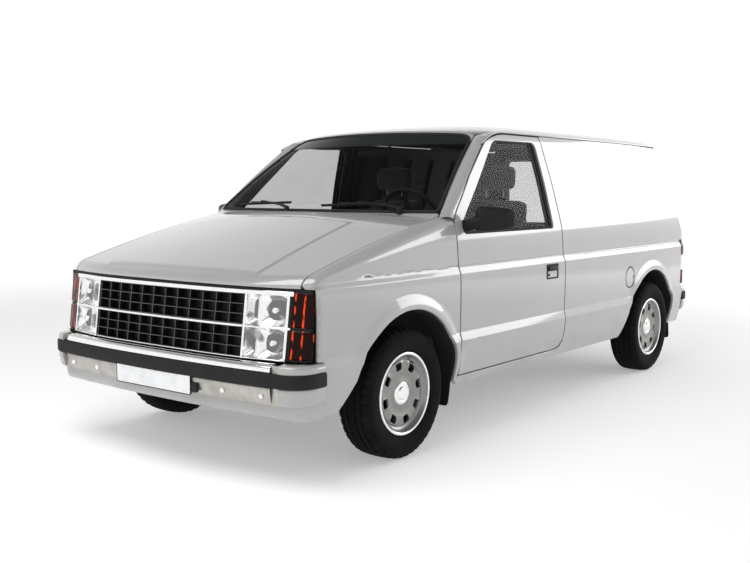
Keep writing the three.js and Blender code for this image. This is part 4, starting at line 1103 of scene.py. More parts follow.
def door_pane():
    """The door's side glass, with the dark run channel along its rear edge."""
    glass = Shape()
    panel(glass, grown(WINDOW_OUTLINE, -1), lambda y, z: [side_x(y, z) - 18, y, z], rows=spread(1060, 1520, 10),
        step=90, radius=1, depth=5, back_mark=0)
    trim = Shape()

    def rear_edge(z, inner):
        return lerp(26, -6, (z - WAIST) / 492) - inner

    for off, width, stand, mark in ((44, 26, 16, 0), (20, 9, 10, 1), (11, 12, 13, 0)):
        rows = []
        for z in spread(WAIST + 6, 1526, 14):
            y = rear_edge(z, off)
            x = side_x(y, z)
            rows.append([(x - 22, y - width / 2, z), (x - stand, y - width / 2, z), (x - stand, y + width / 2, z),
                (x - 22, y + width / 2, z)])
        trim.grid(rows, mark, flip=True)
    rows = []
    for y in spread(-930, 22, 24):
        x = side_x(y, WAIST)
        rows.append([(x - 24, y, WAIST - 4), (x - 3, y, WAIST - 3), (x - 2, y, WAIST + 5), (x - 8, y, WAIST + 11),
            (x - 24, y, WAIST + 11)])
    trim.grid(rows, 1)
    return glass, trim


def wing(looks):
    """The left front wing, its arch lip pressed into it."""
    arch = arch_line(FRONT_AXLE, ARCH_RADIUS, 190, 300)
    outline = [(-2016, 300), *reversed(arch), (-1003, 300), (-1003, 1100), (-2068, 1100), (-2066, 852), (-2053, 851),
        (-2053, 546), (-2016, 545)]
    rows = [z for z in SIDE_ROWS if 302 < z <= 850]
    rows += spread(852, 890, 9) + [900, 925, 950, 975, 990, 1000, 1012, 1025, 1040, 1055, 1070, 1082, 1092]
    shape = Shape()
    panel(shape, outline, wing_point, (), rows, arcs(FRONT_AXLE, FLARE_RADII), step=45, radius=looks.edge_radius,
        depth=18, margin=4)
    return shape


def quarter(looks, right=False):
    """The body side behind the door, with the sill under the door."""
    top = [(y, gutter_z(y) - 2) for y in spread(1800, 78, 14)]
    outline = [(-1003, SILL), *reversed(arch_line(REAR_ARCH, ARCH_RADIUS, 150, SILL)), (2026, SILL), (2026, 562),
        (2008, 562), (2008, 892), (2063, 892), (2062, 950)]
    holes = []
    if right:
        outline += [*[p for p in top if p[0] > 1000], (990, gutter_z(990) - 2), (990, 1500), (990, 460), (978, 385),
            (945, 343), (880, 329), (200, 329), (-1003, 327)]
    else:
        outline += [*top, (70, 1567), (DOOR_REAR + GAP, WAIST), (DOOR_REAR + GAP, 420), (118, 372), (86, 338),
            (40, 327), (-1003, 326)]
        holes = [[(FUEL_Y + 72 * math.cos(2 * math.pi * k / 48), FUEL_Z + 72 * math.sin(2 * math.pi * k / 48))
            for k in range(48)]]
    shape = Shape()
    panel(shape, outline, side_point, holes, [z for z in SIDE_ROWS if z > 290], arcs(REAR_ARCH, FLARE_RADII), step=60,
        radius=looks.edge_radius, depth=22, margin=4)
    if right:
        rail_x = side_x(1400, 930)
        shape.block((rail_x - 3, 1010, 905), (rail_x + 3, 1960, 925), 2)
        panel(shape, [(70, 1567), (70 + 1, 1560), (DOOR_REAR + GAP, WAIST), (DOOR_REAR + GAP, 340),
            (DOOR_REAR + GAP, 330), (126, 330), (126, WAIST), (66, 1567)], lambda y, z: [side_x(y, z) - 30, y, z],
            radius=1, depth=4)
    else:
        shape.turned([(72, -1), (70, -26), (0.1, -26)], (side_x(FUEL_Y, FUEL_Z), FUEL_Y, FUEL_Z), steps=40,
            fair=False)
    return shape


def sliding_door(looks):
    """The closed sliding door (made on the left and mirrored), with its inner lining."""
    shape = Shape()
    panel(shape, SLIDER_OUTLINE, side_point, (), [z for z in SIDE_ROWS if z > 338], step=60, radius=looks.edge_radius,
        depth=30)
    inward_panel(shape, grown(SLIDER_OUTLINE, -14), lambda y, z: [side_x(y, z) - 46, y, z],
        rows=spread(400, 1500, 12), radius=6, depth=20, mark=1)
    return shape


def windscreen_pillar():
    """The pillar between the windscreen and the door, from the wing up into the roof."""
    line = grown([(DOOR_FRONT, 1080), (-330, 1080), (-330, DOOR_TOP), *PILLAR_LINE], GAP)[2:]
    line[0] = (-340, 1576)
    knots = [Vector(p) for p in line]
    ends = []
    for i in range(len(knots) - 1):
        a, b = knots[i], knots[i + 1]
        before = knots[i - 1] if i else a
        after = knots[i + 2] if i + 2 < len(knots) else b
        for t in spread(0, 1, 8)[:-1]:
            ends.append(0.5 * (2 * a + (b - before) * t + (2 * before - 5 * a + 4 * b - after) * t * t
                + (3 * a - before - 3 * b + after) * t**3))
    ends.append(knots[-1])
    ends.append(Vector((-1003, 1118)))
    shape = Shape()
    rows = []
    for p in ends:
        y, z = p
        v = clamp((z - 1150) / (1562 - 1150), -0.06, 0.975)
        glass = Vector(screen_point(1.004, v, 2))
        door = Vector((side_x(y, z), y, z))
        out = Vector((0.62, -0.45, 0.64))
        row = [tuple(glass - out * 16), tuple(glass - out * 3)]
        for t in (0.06, 0.14, 0.3, 0.5, 0.7, 0.86, 0.94, 1.0):
            q = glass.lerp(door, t) + out * (13 * math.sin(math.pi * t) ** 0.8)
            row.append(tuple(q))
        inward = Vector((-1, 0.12, -0.1))
        row += [tuple(door + inward * 3 + Vector((0, 2.5, -1))), tuple(door + inward * 26 + Vector((0, 3, -1)))]
        rows.append(row)
    return shape.grid(rows)


def roof():
    """The roof skin with its rolled front edge, the drip rails along both sides, and a black tube under each rail as
    a painted shadow line.
    """
    shape = Shape()
    xs = sorted({*spread(-640, 640, 20), *spread(640, 702, 12), *[-x for x in spread(640, 702, 12)]})
    rows = []
    for x in xs:
        front = lerp(roof_front(x), -440, clamp((abs(x) - 600) / 100))
        back = rear_y(x, 1600) - 22
        row = [(x, front + 10, roof_z(x, front) - 16), (x, front + 1, roof_z(x, front) - 5)]
        for t in (0.002, 0.01, 0.03, 0.06, 0.1, 0.15, 0.22, 0.3, 0.4, 0.5, 0.6, 0.7, 0.8, 0.88, 0.94, 0.98, 0.996, 1):
            y = lerp(front + 3, back, t)
            row.append((x, y, roof_z(x, y) - (1.5 if t in (0.002, 1) else 0)))
        row.append((x, back + 2, roof_z(x, back) - 8))
        rows.append(row)
    shape.grid(rows, fair=False, flip=True)
    for side in (-1, 1):
        path = []
        for y in spread(-600, 1800, 60):
            path.append((side * (704 + SIDE(gutter_z(y)) + 170), y, gutter_z(y) + 1))
        shape.tube(path, 4.2, 0, sides=8)
        # Under each rail, a black tube stands in for the dark gap beneath it: a painted shadow line.
        low = [(p[0] - side * 3, p[1], p[2] - 7) for p in path]
        shape.tube(low, 4.0, 1, sides=6)
    return shape


def bonnet(looks):
    """The bonnet: rolled lip, raised middle with pressed edges, and its inner frame."""
    half = SEAM_X - GAP / 2
    outline = ([(x, 0.0) for x in spread(-half, half, 36)] + [(x, BONNET_RUN) for x in spread(half, -half, 36)])
    rows = [4, 10, 17, 25, 33, 41, 50, 58, 66, 78, 95, 120, 160, 210, 270, 340, 420, 500, 580, 650, 700]
    rows += spread(715, 775, 8) + [800, 830, 865, 890]
    lines = []
    for side in (-1, 1):
        for off in (-7, -4, -1.5, 1.5, 4, 7):
            line = []
            for y in spread(-2080, -1380, 24):
                x = side * (lerp(515, 484, (y + 2060) / 655) + off)
                line.append((x, bonnet_run(x, y)))
            lines.append(line)
    shape = Shape()
    panel(shape, outline, bonnet_point, (), rows, lines, step=43, edge_step=22, radius=looks.edge_radius, depth=12)

    def under(a, b):
        p = bonnet_point(-a, b)
        return [p[0], p[1] + 12 * clamp(1 - b / 80), p[2] - 14 * clamp(b / 40)]

    panel(shape, [(-x, b) for x, b in grown(outline, -14)], under,
        [[(-x, b) for x, b in rounded([(x0, 180, 40), (x1, 180, 40), (x1, 760, 40), (x0, 760, 40)])]
        for x0, x1 in ((-560, -60), (60, 560))], rows=spread(60, 860, 9), step=60, radius=6, depth=10, mark=1)
    return shape


def cowl():
    """The panel between bonnet and windscreen, with three slotted air intakes."""
    shape = Shape()
    width = SEAM_X - 5

    def place(x, t):
        base = screen_point(x / SCREEN_HALF, 0)
        start = bonnet_rear(x) + GAP
        y = lerp(start, base[1] - 3, t / 100)
        z = lerp(bonnet_point(x, BONNET_RUN)[2], base[2] - 5, t / 100)
        return [x, y, z - 4 * math.sin(math.pi * t / 100)]

    outline = [(x, 0.0) for x in spread(-width, width, 30)] + [(x, 100.0) for x in spread(width, -width, 30)]
    vents = [(-640, -210), (-110, 190), (250, 470)]
    panel(shape, outline, place, rows=(15, 30, 50, 70, 85), step=40, radius=2, depth=14)
    for left, right in vents:
        rows = [[lift(place(x, t), (0, -0.3, 1), 0.8) for t in (12, 30, 50, 62)] for x in spread(left, right, 20)]
        shape.grid(rows, 1, flip=True)
        count = int((right - left) / 9)
        for k in range(count):
            x = left + (k + 0.5) * (right - left) / count
            path = [lift(place(x + s * 5, t), (0, -0.3, 1), 1.6) for s, t in ((-1, 10), (0, 37), (1, 64))]
            shape.sweep(path, [(-2.2, -2), (2.2, -2), (1.4, 1.2), (-1.4, 1.2)], 0, caps=False)
    return shape


def screen():
    """The windscreen, its black band and its rubber surround with a thin bright line."""
    us, vs = spread(-0.985, 0.985, 40), spread(0.012, 0.985, 26)
    glass = Shape()
    glass.grid([[screen_point(u, v) for v in vs] for u in us], 0, fair=True, flip=True)
    glass.grid([[screen_point(u, v, 5) for v in vs] for u in us], 0, fair=True)
    side_u, head_v, wide, tall = 0.99, 0.988, 0.105, 0.095
    turn = [(math.sin(math.radians(a)), 1 - math.cos(math.radians(a))) for a in spread(0, 90, 9)]
    bend = [(side_u - wide * drop, head_v - tall + tall * rise) for rise, drop in turn]
    rim = ([(u, 0.006) for u in spread(-0.97, 0.97, 30)] + [(0.985, 0.03)]
        + [(side_u, v) for v in spread(0.06, head_v - tall, 20)[:-1]] + bend
        + [(u, head_v) for u in spread(side_u - wide, wide - side_u, 30)[1:-1]] + [(-u, v) for u, v in bend[::-1]]
        + [(-side_u, v) for v in spread(head_v - tall, 0.06, 20)[1:]] + [(-0.985, 0.03)])
    surround = Shape()
    path = [screen_point(u, v, -1) for u, v in rim]
    surround.sweep(path, [(-9, -4), (9, -4), (9, 1), (5, 4), (-5, 4), (-9, 1)], 0, closed=True, up=SCREEN_UP)
    outer = [screen_point(u * 1.008, clamp(v + (0.010 if v > 0.9 else 0), 0, 1), -3) for u, v in rim if v > 0.5]
    surround.sweep(outer, [(-1.6, -1.5), (1.6, -1.5), (1.6, 1.5), (-1.6, 1.5)], 1, up=SCREEN_UP)
    for side in (-1, 1):
        rows = []
        for k, (u, v) in enumerate(bend):
            edge = (1.008, lerp(head_v - tall, 1.0, min(1, k / 4.5))) if k < 5 else (
                lerp(1.008, side_u - wide, (k - 4.5) / 4.5), 1.002)
            inner = screen_point(u * side, v, -4)
            outer_point = screen_point(edge[0] * side, edge[1], -4)
            rows.append([blend_points(inner, outer_point, t) for t in spread(0, 1, 4)])
        surround.grid(rows, 2, flip=side > 0)
    return glass, surround


def wiper(pivot_x, tip_x, blade_from, blade_to):
    """A wiper: cranked cap, tapered arm, yoke and its rubber blade."""
    shape = Shape()
    base = screen_point(pivot_x / SCREEN_HALF, 0)
    hub = (base[0], base[1] - 22, 1150)
    shape.turned([(0.1, 26), (9, 25), (13, 18), (15, 6), (15, -8), (0.1, -8)], (hub[0], hub[1], 1150), "z", 20)
    tip = screen_point(tip_x / SCREEN_HALF, 0.075, -19)
    knee = blend_points((hub[0], hub[1], 1170), tip, 0.22)
    knee[2] += 4
    arm = [(hub[0], hub[1], 1168), knee, blend_points(knee, tip, 0.5), tip]
    section = [(-9, -4), (9, -4), (9, 3), (5, 6), (-5, 6), (-9, 3)]
    shape.sweep(arm, section, scale=[1.25, 1.15, 0.8, 0.5])
    blade = [screen_point(x / SCREEN_HALF, 0.05 + 0.03 * (1 - i / 12), -9)
        for i, x in enumerate(spread(blade_from, blade_to, 12))]
    shape.sweep(blade, [(-2, -8), (2, -8), (5, 1), (4, 5), (-4, 5), (-5, 1)])
    middle = [screen_point(x / SCREEN_HALF, 0.065, -15)
        for x in spread(lerp(blade_from, blade_to, 0.25), lerp(blade_from, blade_to, 0.75), 4)]
    shape.sweep(middle, [(-5, -5), (5, -5), (4, 4), (-4, 4)])
    shape.block((tip[0] - 14, tip[1] - 8, tip[2] - 12), (tip[0] + 14, tip[1] + 8, tip[2] + 3), 3)
    return shape


def liftgate(looks):
    """The tailgate: pressed skin, window opening, plate recess, handle and inner trim."""
    side = [(757, 576), (757, 894), (766, 930), (740, 1050), (700, 1300), (660, 1450), (628, 1580)]
    top = [(x, roof_z(x, 1820) - GAP) for x in spread(600, -600, 24)]
    outline = [(-735, 556), (735, 556), (752, 562), *side, *top, *[(-x, z) for x, z in reversed(side)], (-752, 562)]
    window = rounded([(-655, 985, 50), (655, 985, 50), (545, 1500, 60), (-545, 1500, 60)])

    def place(a, z):
        x = -a
        press = 9 * smooth((320 - abs(x)) / 24) * smooth((z - 618) / 20) * smooth((826 - z) / 20)
        return [x, rear_y(x, z) - press, z]

    rows = [575, 600, 612, 622, 634, 660, 720, 780, 806, 816, 828, 850, 870, 890, 905, 920, 930, 940, 955, 968]
    rows += spread(990, 1580, 14)
    shape = Shape()
    panel(shape, outline, place, [window], rows, step=48, radius=looks.edge_radius + 1, depth=24)
    edge_strip(shape, window, lambda a, z: [-a, rear_y(a, z) - 3, z], 16, 1, out=6, stand=3, outward=(0, 1, 0.3))
    inner = grown(outline, -14)
    panel(shape, inner, lambda a, z: [a, rear_y(a, z) - 52, z], [grown(window, 2)], spread(600, 1560, 10), step=80,
        radius=6, depth=16, mark=2)
    shape.block((-250, rear_y(0, 850) - 12, 838), (250, rear_y(0, 850) + 16, 872), 7, 3, 3)
    shape.block((-300, rear_y(0, 646) - 10, 640), (300, rear_y(0, 646) - 2, 800), 3, 3)
    shape.dome((0, rear_y(0, 905), 905), 15, 6, (0, 1, 0), 4, 20)
    return shape


def tail_lamp():
    """The left tail lamp: three lenses in a dark case, wrapping a little round the corner."""
    shape = Shape()
    for k, (low, high) in enumerate(((567, 668), (673, 775), (780, 889))):
        rows = []
        for z in [low, low + 1.5, low + 5, *spread(low + 12, high - 12, 6), high - 5, high - 1.5, high]:
            pinch = 5 * (1 - smooth(min(z - low, high - z) / 6))
            limit = side_x(2036, z) - 2.5
            row = []
            for x in (766, 767.5, 771, 785, 805, 825, 840, 848, 852):
                x = min(x, limit)
                near = 5 * (1 - smooth((x - 766) / 6))
                row.append((x, rear_y(x, z) - 3 - pinch - near, z))
            row += [(limit + 1 - pinch * 0.4, 2052, z), (limit + 1 - pinch * 0.4, 2030, z), (limit - 4, 2010, z)]
            rows.append(row)
        shape.grid(rows, 0 if k != 1 else 1, fair=False)
    shape.block((766, 2012, 563), (846, 2044, 893), 3, 2)
    return shape


# ---------------------------------------------------------------- front end and bumpers
def plan_path(end, wrap, corner, half=748.0, extra=0.0):
    """A bumper's plan line from the right round to the left: (x, y, outward x, outward y)."""
    sign = math.copysign(1, end)
    points = []
    for x in spread(0, half, 18):
        u = x / half
        slope = sign * 39 * 2.4 * u**1.4 / half
        n = Vector((slope, 1 * sign)).normalized() if sign > 0 else Vector((slope, -1)).normalized()
        points.append((x, end - sign * 39 * u**2.4, abs(n.x), sign * abs(n.y)))
    base = end - sign * 39
    for a in spread(0, 90, 14)[1:]:
        t = math.radians(a)
        points.append((half + corner * math.sin(t), base - sign * corner * (1 - math.cos(t)), math.sin(t),
            sign * math.cos(t)))
    for k in spread(0, wrap - corner + extra, 4)[1:]:
        points.append((half + corner, base - sign * corner - sign * k, 1.0, 0.0))
    left = points[1:]
    return [(-x, y, -nx, ny) for x, y, nx, ny in reversed(left)] + points


def bumper_band(shape, path, section, mark, end, keep=None, close=True):
    """A band of the bumper: section holds (depth inwards, height) from its upper back to its lower back."""
    rows = []
    for x, y, nx, ny in path:
        if keep and not keep(x):
            continue
        rows.append([(x - nx * d, y - ny * d, z) for d, z in section])
    groups, last = [], None
    for row in rows:
        if last is None or math.dist(row[0], last) > 140:
            groups.append([])
        groups[-1].append(row)
        last = row[0]
    for group in groups:
        shape.grid(group, mark, flip=end > 0)
        if close:
            ring = tuple(range(len(section)))
            shape.put(group[0], [ring if end > 0 else tuple(reversed(ring))], mark)
            shape.put(group[-1], [tuple(reversed(ring)) if end > 0 else ring], mark)
    return shape


def bumper(end, wrap, corner):
    """A bumper: bright ledge and lower face, black rubbing strip, painted end caps and bolts."""
    cap_from = 742 if end < 0 else 700
    shape = Shape()
    path = plan_path(end, wrap, corner)
    ledge = [(70, 541), (44, 541), (33, 539.5), (24, 536), (17, 530), (12.5, 522), (11, 514), (11.5, 507), (15, 504)]
    lower = [(14, 444), (10.5, 441), (10.5, 432), (13, 415), (16.5, 396), (20, 380), (24, 371), (31, 366.5),
        (60, 366)]
    bumper_band(shape, path, ledge, 0, end, lambda x: abs(x) <= cap_from, False)
    bumper_band(shape, path, lower, 1, end, lambda x: abs(x) <= cap_from, False)
    cap_top = [(60, 542), (30, 541.5), (16, 538), (8, 530), (6, 520), (6, 509), (8, 505), (12, 504)]
    cap_low = [(12, 444), (7, 443), (5.5, 438), (6, 414), (8, 411.5), (10, 409), (11, 396), (15, 380), (22, 370),
        (34, 365.5), (60, 365)]
    for side in (-1, 1):
        bumper_band(shape, path, cap_top, 2, end, lambda x, s=side: x * s > cap_from - 20)
        bumper_band(shape, path, cap_low, 2, end, lambda x, s=side: x * s > cap_from - 20)
    strip = [(22, 504), (5, 503.5), (1.5, 501), (0, 497), (0, 452), (1.5, 447.5), (5, 445), (22, 444.5)]
    bumper_band(shape, path, strip, 3, end)
    backing = [(22, 538), (22, 370)]
    bumper_band(shape, path, backing, 1, end, None, False)
    sign = math.copysign(1, end)
    for x in (-655, -440, 440, 655):
        y = end - sign * (39 * (abs(x) / 748) ** 2.4 + 13)
        shape.dome((x, y, 405), 12, 5.5, (0, sign, -0.1), 0, 16)
    return shape


def blank_plate(y, z0, z1, sign, lean=0.0):
    """A blank registration plate with a thin raised black rim, on a black backing with a side tab."""
    shape = Shape()
    outline = rounded([(-260, z0, 12), (260, z0, 12), (260, z1, 12), (-260, z1, 12)])
    middle = (z0 + z1) / 2

    def place(a, z):
        return [a if sign < 0 else -a, y - sign * (z - middle) * lean, z]

    panel(shape, outline, place, [grown(outline, -4)], radius=1.2, depth=5, mark=1, edge_step=30)
    panel(shape, grown(outline, -3), lambda a, z: lift(place(a, z), (0, -sign, 0), 1.2), radius=0.6, depth=4, mark=0,
        rows=(middle,), step=100)
    low, high = sorted((y - sign * 14, y - sign * 2))
    shape.block((-255, low, z0 + 4), (255, high, z1 - 4), 2, 2)
    shape.block((252, low, z0 + 18), (300, high, z0 + 58), 3, 2)
    return shape


def valance():
    """The painted panel under the front bumper, wrapping round to the wings."""
    profile = [(0, 372), (0, 352), (0.5, 336), (2.5, 322), (7, 310), (13, 302), (22, 297.5), (34, 296), (60, 297)]
    path = []
    for u in spread(0, 0.82, 22):
        path.append((u * 950, lerp(-2168, -2134, (u / 0.82) ** 2), 0.04 * u, -1.0))
    start_x, start_y = 0.82 * 950, -2134.0
    for t in spread(0, 1, 14)[1:]:
        a = t * math.pi / 2
        path.append((start_x + (849 - start_x) * math.sin(a), start_y + 70 * (1 - math.cos(a)),
            math.sin(a), -math.cos(a)))
    for y in spread(-2064, -2015, 3)[1:]:
        path.append((849 + (y + 2064) * 0.09, y, 1.0, 0.0))
    whole = [(-x, y, -nx, ny) for x, y, nx, ny in reversed(path[1:])] + path
    shape = Shape()
    shape.grid([[(x - nx * d, y - ny * d, z) for d, z in profile] for x, y, nx, ny in whole])
    return shape


def carrier():
    """The black panel that carries lamps and grille, and the seal under the bonnet's lip."""
    shape = Shape()
    rows = []
    for x in spread(-842, 842, 44):
        rows.append([(x, face_y(x, z) + 40 + (34 if abs(x) > 770 else 0), z) for z in spread(500, 872, 8)])
    shape.grid(rows, 0)
    seal = [(x, face_y(x, 842) + 10, 842) for x in spread(-820, 820, 50)]
    shape.tube(seal, 7, 0)
    rows = []
    for x in spread(-842, 842, 44):
        y = face_y(x, 545)
        rows.append([(x, y + 2, 545), (x, y + 60, 545)])
    shape.grid(rows, 0)
    return shape


def grille(looks):
    """The grille: a bright surround and middle bar over an egg-crate mesh with deeper blocks behind."""
    shape = Shape()
    half, low, high = 503.0, 550.0, 819.0
    middle = 683.0
    columns, rows = looks.grille_columns, looks.grille_rows

    def post(x, z0, z1, width, front, back, mark):
        path = [(x, face_y(x, z) + (front + back) / 2, z) for z in spread(z0, z1, 4)]
        w, d = width / 2, (back - front) / 2
        shape.sweep(path, [(-w, -d), (w, -d), (w, d), (-w, d)], mark, up=(0, 1, 0))

    def rail(z, width, front, back, mark, x0=-half, x1=half, steps=24, edge=0.0):
        w, f, b = width / 2, front, back
        outlines = []
        for x in spread(x0, x1, steps):
            y = face_y(x, z)
            e = min(edge, w * 0.9)
            outlines.append([(x, y + b, z - w), (x, y + f + e, z - w), (x, y + f + e * 0.3, z - w + e * 0.3),
                (x, y + f, z - w + e), (x, y + f, z + w - e), (x, y + f + e * 0.3, z + w - e * 0.3),
                (x, y + f + e, z + w), (x, y + b, z + w)])
        shape.grid(outlines, mark, across=True)
        ring = tuple(range(8))
        shape.put(outlines[0], [tuple(reversed(ring))], mark)
        shape.put(outlines[-1], [ring], mark)

    for i in range(columns + 1):
        x = lerp(-half + 2, half - 2, i / columns)
        post(x, low, high, 3.4, 8, 36, 0)
        post(x, low, high, 3.0, 7, 9, 1)
    for bottom, top in ((low, middle - 5), (middle + 5, high)):
        for j in range(rows + 1):
            z = lerp(bottom + 1.5, top - 1.5, j / rows)
            rail(z, 3.2, 9, 36, 0)
            rail(z, 3.0, 7.4, 9.2, 1)
        for i in range(columns):
            for j in range(rows):
                x0 = lerp(-half, half, (i + 0.55) / columns)
                x1 = lerp(-half, half, (i + 1.0) / columns)
                z0, z1 = lerp(bottom, top, (j + 0.06) / rows), lerp(bottom, top, (j + 0.86) / rows)
                y = face_y((x0 + x1) / 2, (z0 + z1) / 2)
                shape.block((x0, y + 27, z0), (x1, y + 34, z1), 1, 2, 1)
    rail(828.5, 19, -4, 22, 3, -512, 512, 36, 5)
    rail(middle, 10.5, -1, 20, 3, -half, half, 30, 3.5)
    rail(low - 1, 5, 4, 20, 3, -half, half, 30, 1.5)
    return shape


def headlamp():
    """Two stacked lamps: each a faceted bowl behind a fluted lens, in a bright frame."""
    body, lens = Shape(), Shape()
    x0, x1 = 508.0, 728.0

    def bar(xa, xb, za, zb, front=-3, back=26, mark=0, edge=3.0):
        body.block((xa, front, za), (xb, back, zb), edge, mark, 2, lambda x, y, z: [x, face_y(x, z) + y, z])

    bar(x0 - 3, x0 + 8, 546, 838)
    bar(x1 - 9, x1 + 3, 546, 838)
    bar(x0 - 3, x1 + 20, 819, 838, -4, 22)
    bar(x0, x1 + 14, 678, 688, -2, 24)
    bar(x0, x1, 546, 553, 0, 24)
    for low, high in ((554, 677), (689, 818)):
        middle = (low + high) / 2
        for left, right in ((x0 + 8, x0 + 66), (x0 + 70, x1 - 9)):
            rows = []
            for u in spread(-1, 1, 14):
                row = []
                for v in spread(-1, 1, 12):
                    x = (left + right) / 2 + u * (right - left) / 2
                    z = middle + v * (high - low) / 2
                    deep = 46 * (1 - abs(u) ** 2.6) * (1 - abs(v) ** 2.6)
                    row.append((x, face_y(x, z) + 10 + deep, z))
                rows.append(row)
            body.grid(rows, 1, fair=True)
        bar(x0 + 66, x0 + 70, low, high, 8, 34, 1, 1)
        x = (x0 + 70 + x1 - 9) / 2
        body.turned([(0.1, -34), (9, -32), (13, -24), (13, 12)], (x, face_y(x, middle) + 44, middle), "y", 20, 0)
        rows = []
        for u in spread(0, 1, 16):
            row = []
            for v in spread(0, 1, 14):
                x, z = lerp(x0 + 8, x1 - 9, u), lerp(low, high, v)
                swell = 5 * (1 - (2 * u - 1) ** 6) * (1 - (2 * v - 1) ** 6)
                row.append((x, face_y(x, z) + 3 - swell, z))
            rows.append(row)
        lens.grid(rows, 0, fair=True)
    body.block((x0, 40, 546), (x1, 56, 838), 2, 2, 1, lambda x, y, z: [x, face_y(x, z) + y + 6, z])
    return body, lens


def signal_path(z, off=0.0):
    """The turn signal's outer line in plan at one height, from the headlamp round to the wing."""
    points = [(x, face_y(x, z)) for x in spread(732, 818, 6)]
    corner = side_x(-2053, min(z, 838)) - 1.5
    end = points[-1][1]
    for t in spread(0, 1, 12)[1:]:
        a = Vector(points[6]) * (1 - t) ** 2 + Vector((corner + 2, end + 6)) * 2 * t * (1
            - t) + Vector((corner, -2054)) * t * t
        points.append((a.x, a.y))
    net = [Vector(p) for p in points]
    result = []
    for i, p in enumerate(net):
        step = (net[min(i + 1, len(net) - 1)] - net[max(i - 1, 0)]).normalized()
        result.append((p.x - step.y * off, p.y + step.x * off))
    return result


def turn_signal():
    """The red corner lamp: two ribbed lenses in a black case."""
    shape = Shape()

    def skin(low, high, off, mark, lip, inset_ends=0):
        rows = []
        for z in [low, low + lip * 0.3, low + lip, *spread(low + lip + 8, high - lip - 8, 8), high - lip,
            high - lip * 0.3, high]:
            pinch = lip * (1 - smooth(min(z - low, high - z) / lip)) if lip else 0
            line = signal_path(z, off + pinch)
            rows.append([(x, y, z) for x, y in line[inset_ends: len(line) - inset_ends]])
        shape.grid(rows, mark, fair=False, flip=True)

    skin(546, 846, 5.5, 1, 3)
    skin(556, 677, 1.0, 0, 5, 1)
    skin(689, 836, 1.0, 0, 5, 1)
    for z in (546, 846):
        line = signal_path(z, 5.5)
        shape.grid([[(x, y, z) for x, y in line], [(x - 20 if x > 790 else x, -2058, z) for x, y in line]], 1)
    return shape


def mirror():
    """The left door mirror: boxy black head with a rounded front, its arm and the sail on the door."""
    shape = Shape()
    rows = []
    for k in spread(0, 1, 18):
        x = lerp(884, 1056, k)
        ends = (1 - abs(2 * k - 1) ** 5) ** 0.5 if 0 < k < 1 else 0.05
        back = -845 + 62 * k
        deep = lerp(92, 66, k) * (0.35 + 0.65 * ends)
        tall_top = lerp(1184, 1168, k) - 22 * (1 - ends)
        tall_low = lerp(1046, 1064, k) + 22 * (1 - ends)
        middle, half = (tall_top + tall_low) / 2, (tall_top - tall_low) / 2
        row = []
        for a in spread(0, 360, 36)[:-1]:
            t = math.radians(a)
            c, s = math.cos(t), math.sin(t)
            p = math.copysign(abs(c) ** 0.42, c)
            q = math.copysign(abs(s) ** 0.42, s)
            row.append((x, back - deep * 0.5 - p * deep * 0.5, middle + q * half * (1 - 0.10 * max(0, p))))
        rows.append(row)
    shape.grid(rows, 0, across=True, flip=True)
    for index, turn in ((0, False), (-1, True)):
        ring = list(range(len(rows[0])))
        shape.put(rows[index], [tuple(ring if turn else reversed(ring))], 0)
    face = rounded([(900, 1064, 14), (1042, 1078, 14), (1042, 1154, 14), (900, 1168, 14)])
    panel(shape, [(-x, z) for x, z in face][::-1], lambda a, z: [-a, -842 + 62 * ((-a - 884) / 172) + 2.5, z],
        radius=1, depth=4, mark=1, rows=(1090, 1120, 1145), step=60)
    sail = rounded([(-936, 1046, 12), (-846, 1046, 10), (-850, 1090, 14), (-905, 1132, 20), (-930, 1108, 10)])
    panel(shape, sail, lambda y, z: [side_x(y, z) - 2, y, z], radius=5, depth=16, mark=0)
    path = [(side_x(-895, 1080) - 6, -900, 1080), (862, -902, 1084), (892, -898, 1096), (915, -890, 1108)]
    shape.sweep(path, [(-26, -26), (26, -26), (33, -12), (33, 12), (26, 26), (-26, 26), (-33, 12), (-33, -12)], 0,
        scale=[1.15, 1, 1, 0.9], up=(0, 0, 1))
    return shape


def mud_flap(y, x0, x1, top, bottom, lean=0.0):
    """A hanging rubber mud flap, gently bowed, with its clamping strip and screws."""
    shape = Shape()
    outline = rounded([(x0, bottom, 34), (x1, bottom, 26), (x1, top, 4), (x0, top, 4)])

    def place(x, z):
        fall = (top - z) / (top - bottom)
        return [x, y + lean * fall + 6 * math.sin(math.pi * fall) + 4 * math.sin((x - x0) / 40), z]

    panel(shape, outline, place, rows=spread(bottom + 12, top - 10, 12), step=24, radius=1.5, depth=5, back_mark=0)
    shape.block((x0 + 4, y - 6, top - 26), (x1 - 4, y - 1, top - 8), 2, 1)
    for x in (x0 + 22, (x0 + x1) / 2, x1 - 22):
        shape.dome((x, y - 6, top - 17), 7, 3.5, (0, -1, 0), 1, 8)
    return shape


def arch_liner(centre, inner_x):
    """The black lining of a wheel arch with its turned-in lip."""
    shape = Shape()
    rows = []
    for angle in spread(-3.4, 168, 44):
        t = math.radians(angle)
        y, z = centre + 393 * math.cos(t), TYRE_RADIUS + 393 * math.sin(t)
        x = side_x(y, z)
        rows.append([(x - 14, centre + 399 * math.cos(t), TYRE_RADIUS + 399 * math.sin(t)),
            (x - 22, y, z), *[(lerp(x - 30, inner_x, k), y, z) for k in (0.05, 0.3, 0.55, 0.8, 1)]])
    return shape.grid(rows, 0, flip=True)


